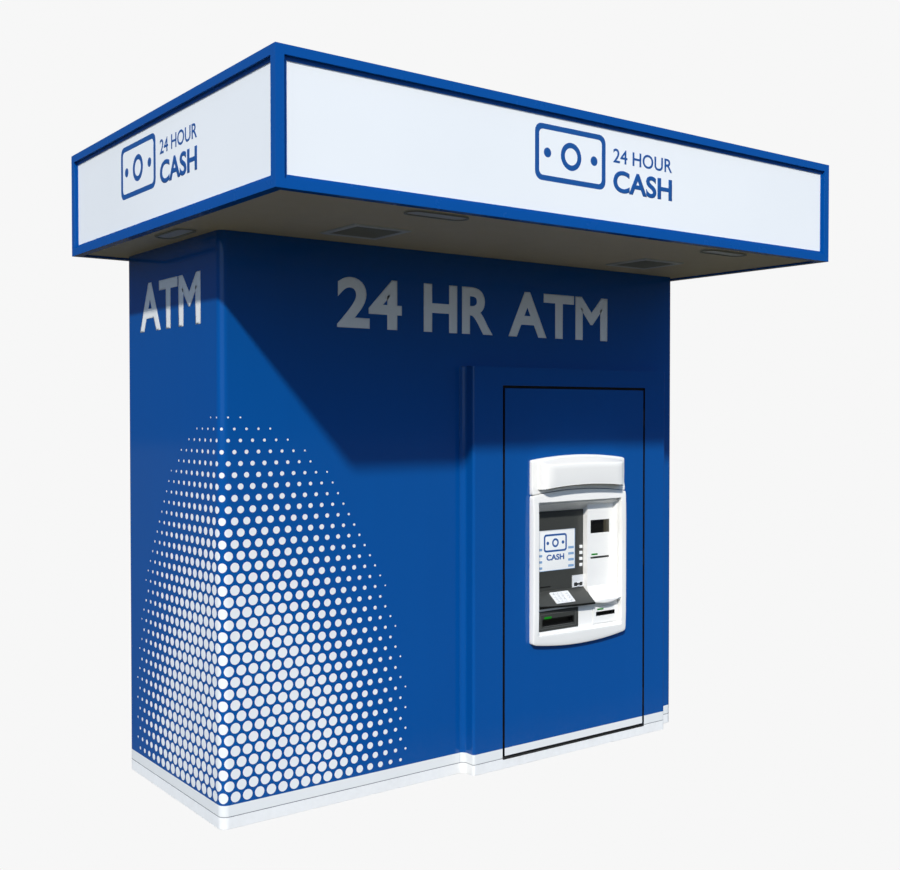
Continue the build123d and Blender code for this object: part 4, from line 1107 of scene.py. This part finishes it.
def visor_profile(share):
    """(depth, height) points down the visor's face at a share of its width."""
    low, high = arch(VISOR_LOW, share), arch(VISOR_HIGH, share)
    shoulder = VISOR_SHOULDER - 9.0 * (2 * share - 1) ** 2
    near, far = VISOR_DEPTH
    points = [(4.0, high), (EDGE_DEPTH, high)]
    top_out, top_down = (EDGE_DEPTH, far - 9), (high, shoulder + 5)
    points += [(between(top_out, s), between(top_down, s)) for s in (0.35, 0.7, 1.0)]
    points += [(far - 3.5, shoulder + 1.5), (far, shoulder - 5)]
    face_down = (shoulder - 5, low + 7)
    points += [(between((far, near), s**3), between(face_down, s)) for s in VISOR_STEPS]
    points += [(near - 0.1, low + 3), (near - 0.8, low + 0.9), (near - 2.5, low)]
    points += [(near - 30, low), (4.0, low)]
    return points


def add_visor(work):
    """The visor: a rounded hood, deeper above than below, arched like its plate."""
    width = VISOR_X[1] - VISOR_X[0]
    columns = 2 * len(VISOR_STATIONS)
    rows = len(visor_profile(0.5))

    def place(i, j):
        along = visor_station(i)
        depth, height = visor_profile(along / width)[j % rows]
        if i in (0, columns):
            depth = 4.0
        else:
            depth = min(depth, side_reach(min(along, width - along)))
        return spot(VISOR_X[0] + along, DOOR_FACE - depth, height)

    add_sheet(work, columns, rows, place)


def make_visor_shade_line():
    """Painted shade: the dark olive line along the visor's lower edge, where its underside falls dark."""
    work = bmesh.new()
    columns = 40

    def place(i, j):
        x = between((VISOR_X[0] + 3, VISOR_X[1] - 3), i / columns)
        inset = min(x - VISOR_X[0], VISOR_X[1] - x)
        z = arch(VISOR_LOW, (x - VISOR_X[0]) / (VISOR_X[1] - VISOR_X[0]))
        depth = min(VISOR_DEPTH[0], side_reach(inset))
        out, up = ((0.4, -1.2), (0.4, 2.6), (-3.0, 2.6), (-3.0, -1.2))[j % 4]
        return spot(x, DOOR_FACE - depth - out, z + up)

    add_sheet(work, columns, 4, place)
    close_up(work)
    keep("visor_shade_line", work, "front_door", VISOR_EDGE_SHADE, sharp=40.0)


def make_hood():
    """The border plate and the visor in front of it."""
    work = bmesh.new()
    add_hood_plate(work)
    close_up(work)
    visor = bmesh.new()
    add_visor(visor)
    close_up(visor)
    joined = bpy.data.meshes.new("visor_part")
    visor.to_mesh(joined)
    visor.free()
    work.from_mesh(joined)
    keep("hood", work, "front_door", FINISHES["fascia_white"], ("fascia_hood",), sharp=40.0)


# ---- niche ----
def shelf_front(share):
    """The shelf's front edge at a share of its width: its place, and its top and underside."""
    y = between(SHELF_ENDS, share) - SHELF_BOW * sin(pi * share)
    slope = (SHELF_BACK[1] - SHELF_FRONT[1]) / (SHELF_BACK[0] - SHELF_FRONT[0])
    top = SHELF_BACK[1] + slope * (y - SHELF_BACK[0])
    return y, top, min(SHELF_LOW, top - SHELF_EDGE)


def make_shelf():
    """The sloping shelf, and the black strip along its bowed front edge."""
    columns = 24
    back_y, back_z = SHELF_BACK

    def place(i, j):
        x = between(SHELF_X, i / columns)
        front, top, under = shelf_front(i / columns)
        half_way = (middle_of((front, back_y)), middle_of((top, back_z)))
        outline = (
            (SHELF_ROOT_Y, under), (SHELF_ROOT_Y, back_z), (back_y, back_z), half_way,
            (front + 4, top + 3.1), (front + 1.2, top), (front, top - 2), (front, under + 2),
            (front + 1.2, under + 0.8), (front + 4, under),
        )
        y, z = outline[j % len(outline)]
        return spot(x, y, z)

    work = bmesh.new()
    add_sheet(work, columns, 10, place)
    close_up(work)
    keep("shelf", work, "kiosk", FINISHES["panel_black"], ("keypad_shelf",), sharp=40.0)
    edge = bmesh.new()

    def edge_place(i, j):
        front, top, under = shelf_front(i / columns)
        out, z = ((0.8, under - 0.5), (0.8, top + 0.5), (-2.0, top + 0.5), (-2.0, under - 0.5))[j % 4]
        return spot(between(SHELF_X, i / columns), front - out, z)

    add_sheet(edge, columns, 4, edge_place)
    close_up(edge)
    keep("shelf_edge", edge, "kiosk", BLACK_FILM, sharp=40.0)


def make_ledge():
    """The white ledge at the column's foot, swept up into it, with a drooping lower edge."""
    columns, sweep = 22, 10
    x_range = (COLUMN_X[0] + 1.0, LEDGE_RIGHT)

    def place(i, j):
        share = i / columns
        x = between(x_range, share)
        front = LEDGE_FRONT_Y - LEDGE_BOW * sin(pi * share)
        low = between(LEDGE_LOW, share) - LEDGE_DROOP * sin(pi * share)
        top = max(LEDGE_TOP, low + LEDGE_EDGE)
        if j < 4:
            y, z = ((COLUMN_Y + 6, low + 4), (front + 5, low), (front + 1, low + 2), (front, low + 6))[j]
            return spot(x, y, z)
        if j <= 4 + sweep:
            rise = (j - 4) / sweep
            y = between((front + 1.5, COLUMN_Y - 1.0), rise)
            return spot(x, y, top + 10 * rise + 62.0 * rise**3.2)
        return spot(x, COLUMN_Y + 6, LEDGE_ROOT_Z)

    work = bmesh.new()
    add_sheet(work, columns, 6 + sweep, lambda i, j: place(i, j % (6 + sweep)))
    close_up(work)
    keep("ledge", work, "kiosk", FINISHES["fascia_white"], sharp=50.0)


def make_screen():
    """The screen's glass with a plain menu on it, and a thin lit rim."""
    glass = bmesh.new()
    pane_x, pane_z = wider(SCREEN_X, 6, 6), wider(SCREEN_Z, 6, 6)
    add_block(glass, pane_x, (GLASS_Y, GLASS_Y + 6), pane_z, 0.6)
    keep("screen", glass, "kiosk", SCREEN_PICTURE)
    # The near-black smoked window also stands for the dark back of a deep camera recess, and the brown-grey
    # strip beside it for that recess's shaded side wall: both painted shade.
    window = bmesh.new()
    add_block(window, WINDOW_X, (COLUMN_Y + 5, COLUMN_Y + 8), WINDOW_Z, 0.5)
    piece = keep("camera_window", window, "kiosk", FINISHES["screen_glass"])
    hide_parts("screen_and_camera_glass")
    strip = bmesh.new()
    strip_x, strip_z = (WINDOW_X[1] - 44, WINDOW_X[1] - 0.5), wider(WINDOW_Z, -1, -1)
    add_block(strip, strip_x, (COLUMN_Y + 4.2, COLUMN_Y + 6), strip_z, 0.4)
    keep("recess_wall_shade_strip", strip, "kiosk", RECESS_WALL_SHADE)
    rim = bmesh.new()
    add_slab_ring(rim, SCREEN_X, SCREEN_Z, 2.2, (GLASS_Y - 1.4, GLASS_Y), 0.4)
    keep("screen_rim", rim, "kiosk", PALE_BLUE_FILM)


def make_menu():
    """What the screen shows: a banknote sign, a line of words and eight choices."""
    face = Face(spot(SCREEN_X[0], GLASS_Y, SCREEN_Z[0]), RIGHT, FRONT)
    loops = banknote_loops(MENU_NOTE_WIDE, MENU_NOTE_TALL, 11.0)
    place_shapes("menu_note", loops, face, "kiosk", BLUE_FILM, film=0.2)
    words = Face(face.at(84, 58, 0), RIGHT, FRONT)
    place_words("menu_words", "CASH", words, 136, 34, "kiosk", BLUE_FILM, 0.035, 0.2)
    choices = []
    for z in CHOICES_Z:
        low = z - SCREEN_Z[0] - 7
        choices += [rounded_loop(x, (low, low + 14), 3, 3) for x in CHOICES_X]
    place_shapes("menu_choices", choices, face, "kiosk", PALE_BLUE_FILM, film=0.2)


def make_reader_guide():
    """The card reader's mouth: a recess narrowed in its middle by two finger lobes, its black ring painted
    shade for the dark inside of the recess.
    """
    front = PANEL_Y - 6.0
    # Black ring: painted shade inside the reader's mouth.
    mouth = bmesh.new()
    add_slab_ring(mouth, READER_X, READER_Z, READER_RIM, (front - 0.8, front + 0.2), 0.3)
    keep("reader_mouth_shade", mouth, "kiosk", BLACK_FILM)
    lobes = bmesh.new()
    for z in ((READER_Z[1] - 4.6, READER_Z[1] + 2.0), (READER_Z[0] - 2.0, READER_Z[0] + 4.6)):
        add_block(lobes, (2214.0, 2234.0), (front - 4.5, front + 0.2), z, 4.0, 5)
    keep("reader_lobes", lobes, "kiosk", FINISHES["reader_silver"])


def add_lamp(work, x, z, face_y):
    """A thin lamp lens standing just proud of a face."""
    add_block(work, x, (face_y - 1.6, face_y + 0.2), z, 0.8)


def make_lamps_and_trims():
    """Green lamps by the slots, the thin trims round the openings, and black liners in the slots that are
    painted shade.
    """
    lamps = bmesh.new()
    for x, z, face_y in SLOT_LAMPS:
        add_lamp(lamps, x, z, face_y)
    keep("slot_lamps", lamps, "kiosk", GREEN_LAMP)
    # Black liners in and round the slot throats and the slit: painted shade inside the openings.
    shade_liners = bmesh.new()
    receipt_y, slot_y = (COLUMN_Y - 0.7, COLUMN_Y + 0.4), (MODULE_Y - 1.0, MODULE_Y + 0.4)
    throat_y = (MODULE_Y + 0.4, MODULE_Y + 17.0)
    add_slab_ring(shade_liners, RECEIPT_X, wider(RECEIPT_Z, 1.5, 0), 3.6, receipt_y, 0.2)
    add_slab_ring(shade_liners, wider(SLOT_X, 3, 0), wider(SLOT_Z, 2, 2), 2.6, slot_y, 0.2)
    add_slab_ring(shade_liners, SLOT_X, SLOT_Z, 0.8, throat_y, 0.2)
    add_slab_ring(shade_liners, CASH_X, CASH_Z, 0.8, throat_y, 0.2)
    add_block(shade_liners, SLIT_X, (PANEL_Y - 0.8, PANEL_Y + 0.2), SLIT_Z, 0.3)
    keep("slot_shade_liners", shade_liners, "kiosk", BLACK_FILM)
    dark = bmesh.new()
    frame_x, frame_z = wider(DISPENSER_X, -14, -18), wider(DISPENSER_Z, -13, -16)
    add_slab_ring(dark, frame_x, frame_z, 2.5, (MODULE_Y - 1.2, MODULE_Y + 0.2), 0.5)
    add_block(dark, wider(CASH_X, -4, -6), (MODULE_Y - 1.6, MODULE_Y + 0.2), CASH_LIP_Z, 0.5)
    keep("dispenser_trim", dark, "kiosk", GREY_TRIM)
    mouth = bmesh.new()
    rim_x, rim_z = wider(CASH_X, 5, 5), wider(CASH_Z, 5, 5)
    add_slab_ring(mouth, rim_x, rim_z, 5.0, (MODULE_Y - 2.2, MODULE_Y + 0.2), 0.8)
    keep("cash_mouth_rim", mouth, "kiosk", FINISHES["shutter_black"])


def make_sill_shade_strip():
    """A black rubber strip on the slab's edge that closes the front door's seam from below; its black face
    on the slab's edge is also painted shade that thickens the seam's dark line.
    """
    work = bmesh.new()
    face = SEAM_DEPTHS[0] + 0.5
    add_block(work, SEAM_RING_X, (face, -50.0), (SILL_Z[1] + 0.05, SILL_Z[2]), 0.3)
    add_block(work, SEAM_RING_X, (face - 0.8, face - 0.05), (SILL_Z[0], SILL_Z[2]), 0.3)
    keep("door_sill_shade_strip", work, "kiosk", FINISHES["seal_rubber"])


def make_key_marks():
    """Numbers and plain signs on the keypad's keys, each riding with its key."""
    down = (spot(0, SHELF_FRONT[0], SHELF_FRONT[1]) - spot(0, *SHELF_BACK)).normalized()
    out = Vector((0, down.z, -down.y))
    for number, label in enumerate(KEY_LABELS, 1):
        node = f"keypad_key_{number}"
        low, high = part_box(node)
        face = Face((low + high) / 2, RIGHT, out, -down)
        tall, wide = 7.5, 4.4
        surface = top_of(nodes[node], out) - face.origin.dot(out)
        to_corner = (RIGHT * -wide / 2 - face.up * tall / 2) * MM
        corner = Face(face.origin + out * surface + to_corner, RIGHT, out, -down)
        place_words(f"key_mark_{number}", label, corner, wide, tall, node, KEY_MARK_GREY, 0.0, 0.15)


def top_of(node, out):
    """How far a node's mesh reaches along a direction."""
    return max(vert.co.dot(out) for vert in node.data.vertices)


# ---- studio ----
def make_floor():
    """A pale floor without end."""
    work = bmesh.new()
    bmesh.ops.create_grid(work, x_segments=1, y_segments=1, size=60.0)
    mesh = bpy.data.meshes.new("pale_floor")
    work.to_mesh(mesh)
    work.free()
    floor = bpy.data.objects.new("pale_floor", mesh)
    floor.location.z = -0.001
    bpy.context.scene.collection.objects.link(floor)
    material = bpy.data.materials.new("pale_floor")
    material.use_nodes = True
    tree = Tree(material.node_tree)
    material.node_tree.nodes.clear()
    seen = tree.node("Emission")
    seen.inputs["Color"].default_value = BACKDROP
    lit = tree.node("BsdfDiffuse")
    lit.inputs["Color"].default_value = (0.094, 0.086, 0.062, 1.0)
    path = tree.node("LightPath")
    mixed = tree.node("MixShader")
    tree.feed(mixed.inputs[0], path.outputs["Is Camera Ray"])
    tree.feed(mixed.inputs[1], lit.outputs[0])
    tree.feed(mixed.inputs[2], seen.outputs[0])
    tree.feed(tree.node("OutputMaterial").inputs["Surface"], mixed.outputs[0])
    mesh.materials.append(material)


BACKDROP = (0.93, 0.93, 0.93, 1.0)
SKY_LOW = (0.43, 0.56, 0.78, 1.0)
SKY_HIGH = (0.33, 0.50, 0.80, 1.0)
MIRRORED_LOW = (0.05, 0.05, 0.06, 1.0)
MIRRORED_HIGH = (0.30, 0.36, 0.45, 1.0)
MIRRORED_PANEL = (0.34, 0.46, 0.62, 1.0)
PANEL_TOWARDS = (-0.8, -0.6, 0.0)


def make_world():
    """A pale backdrop, a soft cool fill, and a darker room for reflections."""
    world = bpy.data.worlds.new("studio")
    bpy.context.scene.world = world
    world.use_nodes = True
    tree = Tree(world.node_tree)
    world.node_tree.nodes.clear()
    up = tree.height_of(tree.node("TexCoord").outputs["Generated"])
    rise = tree.math("SUBTRACT", 1.0, tree.step(up, 0.0, 0.9))
    fill = tree.mix(rise, SKY_LOW, SKY_HIGH)
    mirrored = tree.mix(rise, MIRRORED_LOW, MIRRORED_HIGH)
    facing = tree.node("VectorMath", operation="DOT_PRODUCT")
    tree.feed(facing.inputs[0], tree.node("TexCoord").outputs["Generated"])
    facing.inputs[1].default_value = PANEL_TOWARDS
    off_panel = tree.step(facing.outputs["Value"], 0.80, 0.96)
    mirrored = tree.mix(off_panel, MIRRORED_PANEL, mirrored)
    path = tree.node("LightPath")
    colour = tree.mix(path.outputs["Is Glossy Ray"], fill, mirrored)
    colour = tree.mix(path.outputs["Is Camera Ray"], colour, BACKDROP)
    light = tree.node("Background")
    tree.feed(light.inputs["Color"], colour)
    tree.feed(tree.node("OutputWorld").inputs["Surface"], light.outputs[0])


KEY_LIGHT = 3.95
KEY_COLOUR = (1.0, 0.965, 0.91)
KEY_TOWARDS = (0.93, 1.0, -1.055)
CAMERA_AT = (-3.6516, -4.8210, 1.9388)
CAMERA_YAW = 36.795
CAMERA_PITCH = -1.149
CAMERA_LENS = 44.516


def make_sun():
    """One broad key light from the front left, high up."""
    lamp = bpy.data.lights.new("key_light", "SUN")
    lamp.energy = KEY_LIGHT
    lamp.angle = radians(2.2)
    lamp.color = KEY_COLOUR
    holder = bpy.data.objects.new("key_light", lamp)
    holder.rotation_mode = "QUATERNION"
    holder.rotation_quaternion = Vector(KEY_TOWARDS).to_track_quat("-Z", "Y")
    bpy.context.scene.collection.objects.link(holder)


def make_camera():
    """The camera, at standing height off the front left corner."""
    data = bpy.data.cameras.new("kiosk_camera")
    data.lens = CAMERA_LENS
    data.sensor_width = 36.0
    camera = bpy.data.objects.new("kiosk_camera", data)
    bpy.context.scene.collection.objects.link(camera)
    yaw, pitch = radians(CAMERA_YAW), radians(CAMERA_PITCH)
    look = Vector((sin(yaw) * cos(pitch), cos(yaw) * cos(pitch), sin(pitch)))
    camera.location = CAMERA_AT
    camera.rotation_mode = "QUATERNION"
    camera.rotation_quaternion = look.to_track_quat("-Z", "Y")
    bpy.context.scene.camera = camera


bpy.context.scene.view_settings.view_transform = "Standard"
make_camera()
make_world()
make_sun()
make_floor()
finish_cad_nodes()
make_wall_words()
make_sign_marks()
make_corner_dots()
make_ceiling_lamps()
make_oval_lamps()
make_collar()
make_hood()
make_visor_shade_line()
make_shelf()
make_ledge()
make_screen()
make_menu()
make_reader_guide()
make_lamps_and_trims()
make_sill_shade_strip()
make_key_marks()
